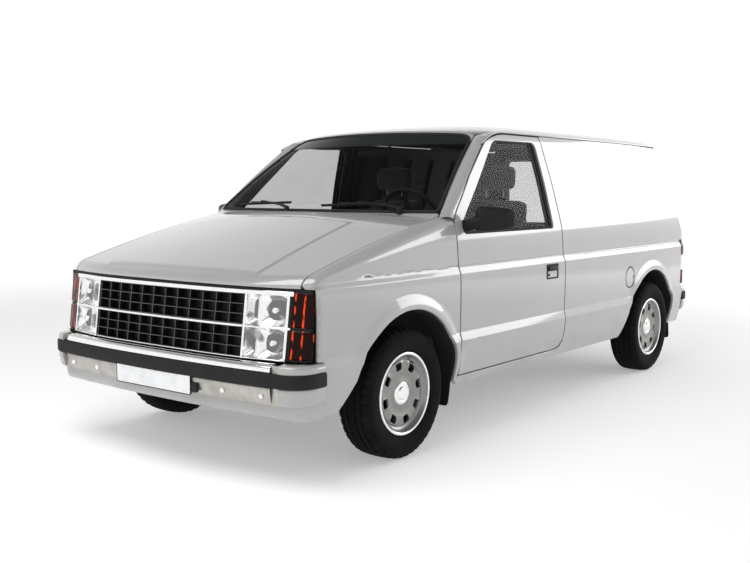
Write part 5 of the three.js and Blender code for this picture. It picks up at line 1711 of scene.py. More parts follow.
# ---------------------------------------------------------------- wheels and tyres
def tyre():
    """A tyre about its own centre, with ribs, shoulder blocks and cross sipes in its tread."""
    half = TYRE_WIDTH / 2
    r = TYRE_RADIUS
    count = 176
    side = [(182, half - 27), (190, half - 25.5), (196, half - 22), (200, half - 15), (203, half - 15.5),
        (212, half - 8), (228, half - 3), (244, half - 0.5), (258, half), (262, half + 0.6), (266, half),
        (276, half - 2), (284, half - 5)]
    shoulder = [(291, half - 9), (297, half - 13), (302, half - 18)]
    tread = [(0.74, 0), (0.62, 0), (0.60, 7), (0.545, 7), (0.525, 0), (0.33, 0), (0.27, 0), (0.25, 7), (0.19, 7),
        (0.17, 0), (0.05, 0), (0.02, 3), (0, 3)]
    rows = []
    for i in range(count):
        a = 2 * math.pi * i / count
        c, s = math.cos(a), math.sin(a)
        phase = i % 4
        notch = phase == 0
        profile = []
        for radius, x in side:
            profile.append((radius, x))
        for radius, x in shoulder:
            profile.append((radius - (5 if notch else 0), x - (2.5 if notch else 0)))
        for share, deep in tread:
            x = share * half
            crown = r - 0.5 - 8.5 * share**2.6
            cross = 0.0
            if share > 0.56 and phase in (0,):
                cross = 6
            elif 0.25 < share < 0.53 and (i + 2) % 4 == 0:
                cross = 3.5
            profile.append((crown - max(deep, cross), x))
        other = []
        for radius, x in reversed(profile[:-1]):
            other.append((radius, -x))
        row = [(x, radius * c, radius * s) for radius, x in profile + other]
        rows.append(row)
    return Shape().grid(rows, 0, along=True, flip=True)


def wheel():
    """A pressed wheel about its own centre: rim, dished face with eight windows, stepped cap and nuts."""
    shape = Shape()
    rim = [(168, -72), (182, -76), (186, -74), (186, -70), (180, -66), (176, -50), (160, -30), (158, 10), (164, 30),
        (174, 50), (180, 64), (181, 71), (190, 73.5), (195, 75), (197, 78), (196.5, 80.5), (193, 82), (188, 82),
        (184, 80.5), (181, 77), (178, 72), (174, 66), (169, 61), (164, 58), (160, 56), (157, 55)]
    shape.turned(rim, (0, 0, 0), steps=72, mark=0)
    shape.turned([(197.2, 77), (197.3, 79), (195.5, 81.6), (192, 83), (188, 82.8), (184.5, 81), (182.5, 78)],
        (0, 0, 0), steps=72, mark=1)
    face = Curve((52, 60), (66, 57), (80, 55, 1), (96, 57), (116, 62), (136, 65), (150, 63), (160, 57))

    def place(a, b):
        return [face(math.hypot(a, b)), a, b]

    def ring(radius, count=72):
        return [(radius * math.cos(2 * math.pi * k / count), radius * math.sin(2 * math.pi * k / count))
            for k in range(count)]

    windows = []
    for k in range(8):
        a = 2 * math.pi * k / 8
        hole = rounded([(-19, 112, 9), (19, 112, 9), (24, 150, 10), (-24, 150, 10)], 4)
        windows.append([(x * math.cos(a) - y * math.sin(a), x * math.sin(a) + y * math.cos(a)) for x, y in hole])
    panel(shape, ring(160), place, [*windows, ring(56, 48)], (),
        [ring(r, 64) + [ring(r, 64)[0]] for r in (62, 70, 78, 86, 94, 102, 106)], edge_step=6, radius=2.5, depth=10,
        margin=3)
    shape.turned([(158, 30), (150, 22), (110, 18), (70, 26)], (0, 0, 0), steps=48, mark=2)
    shape.turned([(0.1, 70), (20, 69.6), (30, 68.6), (33, 66), (35, 63), (37, 64.5), (44, 65), (49, 64.4), (53, 62.5),
        (56, 59), (58, 54)], (0, 0, 0), steps=56, mark=1, fair=False)
    for k in range(5):
        a = 2 * math.pi * k / 5 + 0.3
        c = (62, 43 * math.cos(a), 43 * math.sin(a))
        shape.turned([(0.1, 5), (4.6, 4.6), (6, 3), (6, 0)], c, steps=6, mark=1)
    a = 0.9
    shape.tube([(60, 158 * math.cos(a), 158 * math.sin(a)), (76, 152 * math.cos(a), 152 * math.sin(a))], 3.4, 2,
        sides=8)
    shape.turned([(122, 0), (122, -34), (60, -40)], (0, 0, 0), steps=40, mark=3)
    return shape


def placed(shape, x, y, side, turn=0.0):
    matrix = Matrix.Translation((x, y, TYRE_RADIUS)) @ Matrix.Rotation(turn, 4, "X")
    made = shape if side > 0 else shape.mirrored()
    return made.moved(matrix)


def fuel_flap():
    """The round fuel door with its finger notch and rolled edge."""
    shape = Shape()
    low, high = span("fuel_door")
    y, z = (low.y + high.y) / 2, (low.z + high.z) / 2
    radius = (high.z - low.z) / 2 - 1
    ring = [(y + radius * math.cos(2 * math.pi * k / 64), z + radius * math.sin(2 * math.pi * k / 64))
        for k in range(64)]
    notch = rounded([(y + radius - 17, z - 11, 8), (y + radius - 5, z - 11, 4), (y + radius - 5, z + 11, 4),
        (y + radius - 17, z + 11, 8)])
    panel(shape, ring, side_point, [notch], [z - 40, z, z + 40], step=30, radius=2.5, depth=9)
    x = side_x(y, z)
    shape.block((x - 12, y + radius - 26, z - 15), (x - 7, y + radius - 3, z + 15), 2, 1)
    return shape


def liftgate_pane():
    """The heated glass of the liftgate in its black edging."""
    shape = Shape()
    outline = rounded([(-655, 985, 45), (655, 985, 45), (545, 1500, 60), (-545, 1500, 60)])
    panel(shape, [(-x, z) for x, z in outline], lambda a, z: [-a, rear_y(-a, z) + 3, z], rows=spread(1010, 1480, 8),
        step=90, radius=2, depth=5, back_mark=0)
    return shape


# ---------------------------------------------------------------- cabin
SEAT_LOW, SEAT_HIGH = span("driver_seat")
DRIVER_X = (SEAT_LOW.x + SEAT_HIGH.x) / 2
WHEEL_JOINT = next(j for j in frame["joints"] if j["name"] == "steering_wheel_turn")


def dashboard():
    """The dashboard: padded top with a hooded cluster, vents, controls, glovebox and column."""
    shape = Shape()
    section = [(-1050, 1112), (-1000, 1122), (-930, 1121), (-870, 1110), (-838, 1092), (-824, 1068), (-818, 1040),
        (-812, 1000), (-810, 940), (-808, 880), (-812, 850), (-830, 822), (-860, 780), (-868, 724), (-1050, 724)]
    rows = []
    for x in spread(-698, 698, 40):
        hood = smooth((230 - abs(x - DRIVER_X)) / 60)
        end = 1 - 0.02 * smooth((abs(x) - 640) / 60)
        row = []
        for y, z in section:
            lift_by = hood * 16 * smooth((z - 1080) / 30) if y > -990 else 0
            row.append((x, y + hood * 22 * smooth((z - 1085) / 25), 700 + (z - 700) * end + lift_by))
        rows.append(row)
    shape.grid(rows, 0, across=True, flip=True)
    for row, turned_ in ((rows[0], False), (rows[-1], True)):
        ring = tuple(range(len(section)))
        shape.put(row, [tuple(reversed(ring)) if turned_ else ring], 0)
    shape.block((DRIVER_X - 190, -826, 968), (DRIVER_X + 190, -806, 1066), 8, 1, 2)
    for x in (-130, -42, 42, 130):
        shape.turned([(0.1, 3), (36, 3), (38, 6), (40, 0)], (DRIVER_X + x, -806, 1018), "y", 28, 2)
        shape.dome((DRIVER_X + x, -802, 1018), 5, 4, (0, 1, 0), 3, 10)
        shape.block((DRIVER_X + x - 1, -803, 1018), (DRIVER_X + x + 1, -801, 1046), 0.4, 4, 1)
    for x in (-620, -150, 60, 640):
        shape.block((x - 48, -818, 1010), (x + 48, -804, 1056), 5, 1, 2)
        for k in range(5):
            shape.block((x - 42, -808, 1016 + 8 * k), (x + 42, -801, 1019 + 8 * k), 1, 3, 1)
    shape.block((-140, -820, 850), (90, -803, 985), 8, 1, 2)
    for k, z in enumerate((962, 934)):
        shape.block((-120, -806, z - 9), (70, -799, z + 9), 3, 3, 1)
    for x in (-90, -25, 40):
        shape.turned([(0.1, 16), (14, 15), (17, 11), (18, 0)], (x, -805, 884), "y", 20, 3)
    shape.block((-640, -816, 832), (-210, -802, 968), 12, 0, 2)
    shape.block((-450, -803, 938), (-400, -797, 952), 4, 3, 2)
    axis = Vector(WHEEL_JOINT["axis"])
    hub = Vector(WHEEL_JOINT["pos_m"]) * METRE
    shape.tube([tuple(hub - axis * d) for d in (220, 160, 110, 56)], 33, 0, sides=18, scale=[1.25, 1.25, 1.15, 1])
    side = Vector((1, 0, 0))
    for s in (-1, 1):
        root = hub - axis * 80 + side * 30 * s
        shape.tube([tuple(root), tuple(root + side * 60 * s + Vector((0, 14, 6))),
            tuple(root + side * 132 * s + Vector((0, 16, 10)))], 6, 3, sides=8)
    return shape


def steering_wheel():
    """The steering wheel: grained rim with finger waves, three spokes and a padded hub."""
    shape = Shape()
    rows = []
    for i in range(96):
        a = 2 * math.pi * i / 96
        wave = 0.9 * math.cos(a * 36)
        row = []
        for k in range(14):
            b = 2 * math.pi * k / 14
            tube = 12.5 + (wave if math.cos(b) < 0 else 0)
            reach = 186 + tube * math.cos(b)
            row.append((reach * math.cos(a), reach * math.sin(a), tube * math.sin(b)))
        rows.append(row)
    shape.grid(rows, 0, across=True, along=True, fair=True)
    for angle in (0.25, math.pi - 0.25, -math.pi / 2):
        c, s = math.cos(angle), math.sin(angle)
        path = [(c * r, s * r, z) for r, z in ((42, -10), (90, -9), (140, -4), (178, 0))]
        shape.sweep(path, [(-17, -5), (17, -5), (19, 0), (15, 5), (-15, 5), (-19, 0)], 0,
            scale=[1.4, 1.05, 0.8, 0.75])
    shape.turned([(0.1, 12), (30, 11), (48, 5), (56, -6), (58, -24), (0.1, -27)], (0, 0, 0), "z", 40, 0)
    shape.turned([(0.1, 15), (20, 14.5), (23, 11), (24, 8)], (0, 0, 0), "z", 32, 1)
    axis = Vector(WHEEL_JOINT["axis"]).normalized()
    hub = Vector(WHEEL_JOINT["pos_m"]) * METRE
    turn = Vector((0, 0, 1)).rotation_difference(axis).to_matrix().to_4x4()
    return shape.moved(Matrix.Translation(hub) @ turn)


def cabin_lining():
    """Headlining, sun visors, pillar trims, floor covering and load-space linings."""
    shape = Shape()
    # The headlining and sun visors use the near-black cabin plastic, and the linings the near-black load-space
    # finish: painted shade for the dim cabin.
    rows = []
    for x in spread(-600, 600, 18):
        y0 = roof_front(x) + 26
        rows.append([(x, y, roof_z(x, y) - 34 - 10 * smooth((abs(x) - 560) / 40)) for y in spread(y0, 1720, 24)])
    shape.grid(rows, 0)
    for side in (-1, 1):
        shape.block((side * 330 - 190, -560, 1508), (side * 330 + 190, -420, 1526), 8, 0, 2)
        rows = []
        for z in spread(1058, 1560, 12):
            outer = side_x(1000, z) - 64
            rows.append([(side * outer, y, z) for y in spread(180, rear_y(700, z) - 30, 10)])
        shape.grid(rows, 1, flip=side < 0)
        for y in (420, 700, 980, 1260, 1540):
            path = [(side * (side_x(y, z) - 70), y, z) for z in spread(700, 1480, 10)]
            shape.sweep(path, [(-14, -9), (14, -9), (9, 9), (-9, 9)], 1, up=(1, 0, 0))
        rows = []
        for z in spread(376, 1058, 10):
            rows.append([(side * (side_x(700, z) - 64), y, z) for y in spread(180, 1000, 8)])
        shape.grid(rows, 1, flip=side < 0)
        rows = []
        for z in spread(580, 1556, 14):
            inner, outer = lerp(700, 566, (z - 580) / 976), side_x(1000, z) - 60
            rows.append([(side * x, rear_y(x, z) - 84, z) for x in spread(inner, outer, 5)])
        shape.grid(rows, 1, flip=side > 0)
    shape.block((-702, -1056, 373), (702, 2030, 379), 2, 2)
    return shape


def rear_view_mirror():
    """The inside mirror on its stalk at the head of the windscreen."""
    shape = Shape()
    shape.block((-118, -590, 1452), (118, -566, 1508), 11, 0, 3)
    shape.block((-110, -567, 1459), (110, -564, 1501), 1, 1)
    shape.tube([(0, -580, 1500), (0, -572, 1530), (0, -556, 1560)], 6, 0)
    return shape


def pad(name, low, high, pull):
    """A closed cushion block: crowned faces, with the sides drawn in between the corners."""
    made = bmesh.new()
    bmesh.ops.create_cube(made, size=2)
    bmesh.ops.subdivide_edges(made, edges=made.edges, cuts=9, use_grid_fill=True)
    low, high = Vector(low), Vector(high)
    middle, half = (low + high) / 2, (high - low) / 2
    for v in made.verts:
        p = v.co.copy()
        soft = Vector(p[i] * math.sqrt(max(0.0, 1 - 0.16 * (p[(i + 1) % 3] ** 4 + p[(i + 2) % 3] ** 4)))
            for i in range(3))
        waist = 1 - pull * (1 - abs(p.x) ** 2) * (abs(p.y) > 0.98) - pull * (1 - abs(p.y) ** 2) * (abs(p.x) > 0.98)
        v.co = middle + Vector((soft.x * half.x * waist, soft.y * half.y * waist, soft.z * half.z))
    mesh = bpy.data.meshes.new(name)
    made.to_mesh(mesh)
    made.free()
    made = bpy.data.objects.new(name, mesh)
    bpy.context.scene.collection.objects.link(made)
    return made


def stuffed(piece, bend, voxel, cap, steps=16, pressure=4.0):
    """Fills the pad: remeshes it, lets cloth swell under pressure, caps the swelling, and puts it in place."""
    scene = bpy.context.scene
    for v in piece.data.vertices:
        v.co = Vector(v.co) / METRE
    remesh = piece.modifiers.new("even", "REMESH")
    remesh.mode, remesh.voxel_size = "VOXEL", voxel / METRE
    graph = bpy.context.evaluated_depsgraph_get()
    even = bpy.data.meshes.new_from_object(piece.evaluated_get(graph))
    piece.modifiers.clear()
    piece.data = even
    start = np.array([v.co for v in even.vertices])
    cloth = piece.modifiers.new("fill", "CLOTH")
    cloth.settings.use_pressure = True
    cloth.settings.uniform_pressure_force = pressure
    cloth.settings.effector_weights.gravity = 0
    cloth.settings.quality = 4
    cloth.point_cache.frame_start, cloth.point_cache.frame_end = 1, steps
    for number in range(1, steps + 1):
        scene.frame_set(number)
    graph = bpy.context.evaluated_depsgraph_get()
    swollen = bpy.data.meshes.new_from_object(piece.evaluated_get(graph))
    piece.modifiers.clear()
    piece.data = swollen
    scene.frame_set(1)
    end = np.array([v.co for v in swollen.vertices])
    move = end - start
    length = np.linalg.norm(move, axis=1, keepdims=True)
    capped = start + move * np.minimum(1, cap / METRE / np.maximum(length, 1e-9))
    for v, co in zip(swollen.vertices, capped):
        v.co = co
    for v in piece.data.vertices:
        v.co = Vector(bend(*(v.co * METRE))) / METRE
    piece.data.shade_smooth()
    return piece


def channels(z, pitch, depth):
    """The depth of sewn channels across a pad at a place along it."""
    t = (z / pitch) % 1.0
    return depth * (1 - min(1.0, min(t, 1 - t) * 7) ** 0.5)


def seat_parts():
    """The three pads of one seat about its own middle: cushion, back and headrest."""

    def on_base(x, y, z):
        bolster = 20 * smooth((abs(x) - 150) / 60) * smooth((y + 330) / 60)
        front = -26 * smooth((-300 - y) / 70)
        top = smooth((z - 600) / 40)
        sew = channels(x + 160, 80, 7) * top if abs(x) < 162 and y < 60 else 0
        return x, y, z + (bolster + front) * top - sew - (y + 360) * 0.06 * top + 8

    def on_back(x, y, z):
        lean = (z - 640) * 0.145
        face = smooth((62 - y) / 30)
        bolster = 18 * smooth((abs(x) - 150) / 60) * smooth((1180 - z) / 60)
        sew = channels(x + 160, 80, 7) * face if abs(x) < 162 and z < 1150 else 0
        return x, y + lean - bolster * face + sew + 2, z

    def on_rest(x, y, z):
        return x, y + (z - 1250) * 0.07, z

    return (("seat_cushion", (-247, -352, 556), (247, 96, 690), on_base, 0.035),
        ("seat_back", (-246, 26, 636), (246, 104, 1226), on_back, 0.03),
        ("headrest", (-136, 78, 1262), (136, 152, 1404), on_rest, 0.02))


def seat_frame(x):
    """The seat's plinth, slide rails, recliner covers and headrest posts."""
    shape = Shape()
    shape.block((x - 205, -290, 392), (x + 205, 66, 552), 18, 0, 3)
    for side in (-1, 1):
        shape.block((x + side * 180 - 16, -330, 380), (x + side * 180 + 16, 110, 394), 3, 1)
        shape.turned([(0.1, 11), (30, 10), (36, 5), (37, 0)], (x + side * 246, 60, 628), "x", 28, 0, sign=side)
        shape.tube([(x + side * 60, 118, 1215), (x + side * 60, 122, 1275)], 6, 1, sides=10)
    return shape


def piping(pads, x):
    """A piped seam round the edges of each pad, laid on its surface."""
    shape = Shape()
    loops = ((0, [(sx * 236, y, 700) for sx, y in ((-1, -330), (-1, 60), (1, 60), (1, -330))], (0, 0, -1)),
        (1, [(sx * 234, 0, z) for sx, z in ((-1, 680), (1, 680), (1, 1208), (-1, 1208))], (0, 1, 0)),
        (2, [(sx * 126, 40, z) for sx, z in ((-1, 1276), (1, 1276), (1, 1392), (-1, 1392))], (0, 1, 0)))
    for index, corners, toward in loops:
        mesh = pads[index].data
        tree = BVHTree.FromPolygons([tuple(v.co * METRE) for v in mesh.vertices],
            [tuple(p.vertices) for p in mesh.polygons])
        flat = [(c[0], c[2] if toward[1] else c[1]) for c in corners]
        if area(flat) < 0:
            flat = flat[::-1]
        path = []
        for a, b in densified(rounded([(*c, 34) for c in flat]), 14):
            probe = Vector((a, -400, b)) if toward[1] else Vector((a, b, 1000))
            hit, normal, _, _ = tree.ray_cast(probe, Vector(toward))
            if hit:
                path.append(tuple(hit + normal * 1.0 + Vector((x, 0, 0))))
        if len(path) > 8:
            shape.tube(path, 3.2, 0, closed=True, sides=6, up=toward)
    return shape


# ---------------------------------------------------------------- settings
class VanLooks(bpy.types.PropertyGroup):
    """Colours and small sizes of the van's own pieces."""

    paint_colour: bpy.props.FloatVectorProperty(name="Paint", description="Colour of the body paint", subtype="COLOR",
        default=(0.36, 0.36, 0.357), min=0, max=1)
    seat_colour: bpy.props.FloatVectorProperty(name="Seat cloth", description="Colour of the seat covers",
        subtype="COLOR", default=(0.05, 0.05, 0.052), min=0, max=1)
    edge_radius: bpy.props.FloatProperty(name="Panel edge",
        description="Radius of a folded panel edge, in millimetres", default=3.2, min=0.5, max=6)
    grille_columns: bpy.props.IntProperty(name="Grille columns", description="Cells across each half of the grille",
        default=12, min=4, max=24)
    grille_rows: bpy.props.IntProperty(name="Grille rows", description="Rows of cells in the grille", default=3,
        min=1, max=6)


class VanStudio(bpy.types.PropertyGroup):
    """The floor, the lights and the camera's lens."""

    floor_colour: bpy.props.FloatVectorProperty(name="Floor", description="Colour of the studio floor",
        subtype="COLOR", default=(0.93, 0.93, 0.93), min=0, max=1)
    floor_glow: bpy.props.FloatProperty(name="Floor glow", description="Light that the floor gives off round the van",
        default=0.31, min=0)
    far_glow: bpy.props.FloatProperty(name="Far floor glow",
        description="Light that the floor gives off well away from the van", default=0.6, min=0)
    wall_strength: bpy.props.FloatProperty(name="Walls", description="Strength of the even light from the walls",
        default=1.02, min=0)
    ceiling_strength: bpy.props.FloatProperty(name="Ceiling",
        description="Strength of the even light from the ceiling", default=0.25, min=0)
    top_power: bpy.props.FloatProperty(name="Top light", description="Power of the light overhead", subtype="POWER",
        unit="POWER", default=95, min=0)
    side_power: bpy.props.FloatProperty(name="Side light", description="Power of the light on the left",
        subtype="POWER", unit="POWER", default=320, min=0)
    front_power: bpy.props.FloatProperty(name="Front light", description="Power of the light ahead", subtype="POWER",
        unit="POWER", default=12, min=0)
    lens: bpy.props.FloatProperty(name="Lens", description="Focal length of the camera in millimetres",
        subtype="DISTANCE_CAMERA", unit="CAMERA", default=46.02, min=10)


def looks_of(*names):
    return [finish(name) for name in names]


class VAN_OT_doors(bpy.types.Operator):
    """Front doors with their glass, seals, pulls and outside mirrors"""

    bl_idname = "van.doors"
    bl_label = "Front doors"

    def execute(self, context):
        looks = context.scene.van_looks
        pair("door_skin", front_door(looks), looks_of("gloss_paint", "seal_rubber", "cabin_plastic", "black_plastic"),
            "front_door", "paint", ("front_door",), sided=True)
        glass, trim = door_pane()
        pair("door_window", glass, looks_of("side_glass"), "front_door", "glass", ("door_glass",), sided=True)
        pair("door_run_channel", trim, looks_of("seal_rubber", "strip_plastic"), "front_door", "black_plastic",
            sided=True)
        pair("door_pull", door_handle(), looks_of("black_plastic", "strip_plastic"), "front_door", "black_plastic",
            sided=True)
        pair("wing_mirror", mirror(), looks_of("black_plastic", "lamp_mirror"), "front_door", "black_plastic",
            ("door_mirror",), sided=True)
        pair("door_opening_seal", door_frame_seal(), looks_of("seal_rubber"), "body", "black_plastic")
        return {"FINISHED"}


class VAN_OT_sides(bpy.types.Operator):
    """Front wings, body sides, screen pillars, sliding door and fuel door"""

    bl_idname = "van.sides"
    bl_label = "Body sides"

    def execute(self, context):
        looks = context.scene.van_looks
        pair("wing_skin", wing(looks), looks_of("gloss_paint"), "body", "paint", ("front_wing",))
        build("side_skin_left", quarter(looks), looks_of("gloss_paint", "cargo_board", "black_plastic"), "body",
            "paint", ["body_side_left"])
        build("side_skin_right", quarter(looks, right=True).mirrored(),
            looks_of("gloss_paint", "cargo_board", "black_plastic"), "body", "paint", ["body_side_right"])
        build("load_door", sliding_door(looks).mirrored(), looks_of("gloss_paint", "cargo_board", "black_plastic"),
            "body", "paint", ["sliding_door"])
        build("load_door_pull", door_handle(352, 488).mirrored(), looks_of("black_plastic", "strip_plastic"), "body",
            "black_plastic")
        pair("screen_pillar", windscreen_pillar(), looks_of("gloss_paint"), "body", "paint")
        build("fuel_flap", fuel_flap(), looks_of("gloss_paint", "black_plastic"), "fuel_door", "paint", ["fuel_door"])
        return {"FINISHED"}


class VAN_OT_roof(bpy.types.Operator):
    """Roof skin with its rolled front edge and drip rails"""

    bl_idname = "van.roof"
    bl_label = "Roof"

    def execute(self, context):
        build("roof_skin", roof(), looks_of("gloss_paint", "black_plastic"), "body", "paint", ["roof_panel"])
        return {"FINISHED"}


class VAN_OT_bonnet(bpy.types.Operator):
    """Bonnet, and the scuttle behind it"""

    bl_idname = "van.bonnet"
    bl_label = "Bonnet and scuttle"

    def execute(self, context):
        looks = context.scene.van_looks
        build("bonnet_skin", bonnet(looks), looks_of("gloss_paint", "underseal"), "bonnet", "paint", ["bonnet"])
        build("scuttle", cowl(), looks_of("gloss_paint", "black_plastic"), "body", "black_plastic", ["cowl_panel"])
        return {"FINISHED"}


class VAN_OT_screen(bpy.types.Operator):
    """Windscreen with its rubber surround, and the wipers"""

    bl_idname = "van.screen"
    bl_label = "Windscreen and wipers"

    def execute(self, context):
        glass, surround = screen()
        build("windscreen_pane", glass, looks_of("screen_glass"), "body", "glass", ["windscreen"])
        build("windscreen_surround", surround, looks_of("seal_rubber", "bright_metal", "gloss_paint"), "body",
            "black_plastic")
        build("wiper_arm_left", wiper(585, 330, 560, 90), looks_of("black_plastic"), "body", "black_plastic",
            ["wiper_left"])
        build("wiper_arm_right", wiper(-124, -380, -150, -600), looks_of("black_plastic"), "body", "black_plastic",
            ["wiper_right"])
        return {"FINISHED"}


class VAN_OT_nose(bpy.types.Operator):
    """Grille, headlamps, turn signals, valance and the panel that carries them"""

    bl_idname = "van.nose"
    bl_label = "Nose"

    def execute(self, context):
        looks = context.scene.van_looks
        build("grille_frame", grille(looks), looks_of("black_plastic", "grille_edge", "black_plastic",
            "bright_metal"), "body", "black_plastic", ["grille"])
        body, lens = headlamp()
        pair("headlamp_unit", body, looks_of("bright_metal", "lamp_mirror", "black_plastic"), "body", "chrome",
            ("headlamp",))
        pair("headlamp_glass", lens, looks_of("lamp_lens"), "body", "clear_lens")
        pair("turn_lamp", turn_signal(), looks_of("red_lens", "black_plastic"), "body", "red_lens", ("turn_signal",))
        build("valance_skin", valance(), looks_of("gloss_paint"), "body", "paint", ["nose_panel"])
        build("lamp_carrier", carrier(), looks_of("black_plastic"), "body", "black_plastic")
        return {"FINISHED"}


class VAN_OT_bumpers(bpy.types.Operator):
    """Front and rear bumpers with their rubbing strips, and the blank front plate"""

    bl_idname = "van.bumpers"
    bl_label = "Bumpers and plates"

    def execute(self, context):
        finishes = looks_of("bright_metal", "bumper_metal", "gloss_paint", "strip_plastic")
        build("bumper_front", bumper(FRONT, 176, 124), finishes, "body", "chrome", ["front_bumper"])
        build("bumper_back", bumper(REAR, 158, 120), finishes, "body", "chrome", ["rear_bumper"])
        plate = looks_of("plate_face", "black_plastic", "black_plastic")
        build("plate_front", blank_plate(FRONT + 4, 362, 472, -1), plate, "body", "black_plastic")
        return {"FINISHED"}


class VAN_OT_tail(bpy.types.Operator):
    """Liftgate with its glass and plate, and the tail lamps"""

    bl_idname = "van.tail"
    bl_label = "Liftgate and tail lamps"

    def execute(self, context):
        looks = context.scene.van_looks
        build("liftgate_skin", liftgate(looks), looks_of("gloss_paint", "seal_rubber", "cabin_plastic",
            "black_plastic", "bright_metal"), "liftgate", "paint", ["liftgate"])
        build("liftgate_window", liftgate_pane(), looks_of("rear_glass"), "liftgate", "glass", ["liftgate_glass"])
        pair("tail_lamp_unit", tail_lamp(), looks_of("tail_red", "lamp_lens", "black_plastic"), "body", "red_lens",
            ("tail_lamp",))
        return {"FINISHED"}


class VAN_OT_dashboard(bpy.types.Operator):
    """Dashboard with vents, cluster and column, and the steering wheel"""

    bl_idname = "van.dashboard"
    bl_label = "Dashboard and steering wheel"

    def execute(self, context):
        build("dash_moulding", dashboard(), looks_of("cabin_plastic", "black_plastic", "black_plastic",
            "strip_plastic", "red_lens"), "body", "black_plastic", ["dashboard"])
        build("steering_rim", steering_wheel(), looks_of("cabin_plastic", "strip_plastic"), "steering_wheel",
            "black_plastic", ["steering_wheel"])
        return {"FINISHED"}


class VAN_OT_seats(bpy.types.Operator):
    """Front seats: stuffed cushions, backs and headrests with sewn channels and piping, on their plinths"""

    bl_idname = "van.seats"
    bl_label = "Seats"

    def execute(self, context):
        pads = []
        for name, low, high, bend, cap in seat_parts():
            pads.append(stuffed(pad(name, low, high, 0.05), bend, 11, cap * METRE))
        for side, word in ((1, "driver"), (-1, "passenger")):
            x = DRIVER_X * side
            for piece in pads:
                mesh = piece.data.copy()
                mesh.transform(Matrix.Translation((x / METRE, 0, 0)))
                made = bpy.data.objects.new(f"{word}_{piece.name}", mesh)
                bpy.context.scene.collection.objects.link(made)
                made.data.materials.append(finish("seat_cloth"))
                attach(made, "body")
                if piece.name == "seat_cushion":
                    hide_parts(f"{word}_seat")
            build(f"{word}_seat_frame", seat_frame(x), looks_of("cabin_plastic", "bare_steel"), "body",
                "black_plastic")
            build(f"{word}_seat_piping", piping(pads, x), looks_of("piping_vinyl"), "body", "seat_fabric")
        for piece in pads:
            bpy.data.objects.remove(piece)
        return {"FINISHED"}


class VAN_OT_lining(bpy.types.Operator):
    """Headlining, sun visors, load-space linings, floor covering and inside mirror"""

    bl_idname = "van.lining"
    bl_label = "Cabin linings"

    def execute(self, context):
        build("cabin_trim", cabin_lining(), looks_of("cabin_plastic", "cargo_board", "floor_mat"), "body",
            "black_plastic")
        build("inside_mirror", rear_view_mirror(), looks_of("black_plastic", "lamp_mirror"), "body", "black_plastic")
        return {"FINISHED"}


class VAN_OT_wheels(bpy.types.Operator):
    """Tyres and pressed wheels"""

    bl_idname = "van.wheels"
    bl_label = "Wheels"

    def execute(self, context):
        finishes = looks_of("wheel_silver", "bright_metal", "black_plastic", "cast_iron")
        for end, x, y, turn in (("front", FRONT_WHEEL_X, FRONT_AXLE, 0.22), ("rear", REAR_WHEEL_X, REAR_AXLE, 0.6)):
            rubber, disc = tyre(), wheel()
            for side, word in ((1, "left"), (-1, "right")):
                place = f"{end}_{word}"
                build(f"tyre_tread_{place}", placed(rubber, x * side, y, side), looks_of("tyre_rubber"),
                    f"wheel_{place}", "tyre", [f"tyre_{place}"], faired=False)
                build(f"wheel_disc_{place}", placed(disc, x * side, y, side, turn), finishes, f"wheel_{place}",
                    "wheel_steel", [f"wheel_{place}"], faired=False)
        return {"FINISHED"}


UNDERSIDE = {"floor_pan": "underseal", "front_structure": "underseal", "engine_block": "cast_iron",
    "front_subframe": "underseal", "exhaust": "bare_steel", "fuel_tank": "underseal", "knuckle_left": "cast_iron",
    "knuckle_right": "cast_iron", "rear_axle": "underseal"}


class VAN_OT_underside(bpy.types.Operator):
    """Finishes and softened edges for the floor, engine, axles, tank and exhaust, with arch liners and mud flaps"""

    bl_idname = "van.underside"
    bl_label = "Underside"

    def execute(self, context):
        for name, look in UNDERSIDE.items():
            node = frame["nodes"][name]
            node.data.materials.clear()
            node.data.materials.append(finish(look))
            edge = node.modifiers.new("soft_edges", "BEVEL")
            edge.width, edge.segments, edge.limit_method, edge.angle_limit = 0.002, 2, "ANGLE", math.radians(40)
            edge.use_clamp_overlap = True
        pair("arch_lining_front", arch_liner(FRONT_AXLE, 560), looks_of("mud_rubber"), "body", "black_plastic")
        pair("arch_lining_rear", arch_liner(REAR_ARCH, 560), looks_of("mud_rubber"), "body", "black_plastic")
        pair("mud_flap_front", mud_flap(-1012, 668, 828, 470, 182, -40), looks_of("mud_rubber", "strip_plastic"),
            "body", "black_plastic")
        pair("mud_flap_rear", mud_flap(REAR_ARCH + 408, 640, 822, 470, 168, 60),
            looks_of("mud_rubber", "strip_plastic"), "body", "black_plastic")
        return {"FINISHED"}


# Each light's size, its place and the point it faces, in metres.
LIGHTS = {"top": ((3.4, 2.4), (-0.2, -3.4, 4.2), (0, -1.9, 0.9)),
    "side": ((9, 3.6), (5.2, 9.2, 3.6), (0.87, 0.8, 1.35)), "front": ((4, 2), (2.0, -7.5, 3.6), (0, -1.5, 0.7))}
CAMERA_PLACE = (3.454, -4.992, 1.259)
CAMERA_DOWN, CAMERA_ROUND = 5.44, 38.08
FLOOR_REACH = 60


def studio_sky(studio):
    """Even light from all round: pale walls that fade to a dimmer ceiling."""
    world = bpy.data.worlds.new("studio")
    world.use_nodes = True
    nodes, links = world.node_tree.nodes, world.node_tree.links
    spot = nodes.new("ShaderNodeTexCoord")
    parts = nodes.new("ShaderNodeSeparateXYZ")
    fade = nodes.new("ShaderNodeMapRange")
    fade.interpolation_type = "SMOOTHSTEP"
    for socket, value in zip(fade.inputs[1:5], (0.34, 0.72, studio.wall_strength, studio.ceiling_strength)):
        socket.default_value = value
    links.new(spot.outputs["Generated"], parts.inputs[0])
    links.new(parts.outputs[2], fade.inputs[0])
    links.new(fade.outputs[0], nodes["Background"].inputs["Strength"])
    nodes["Background"].inputs["Color"].default_value = (1, 1, 1, 1)
    return world


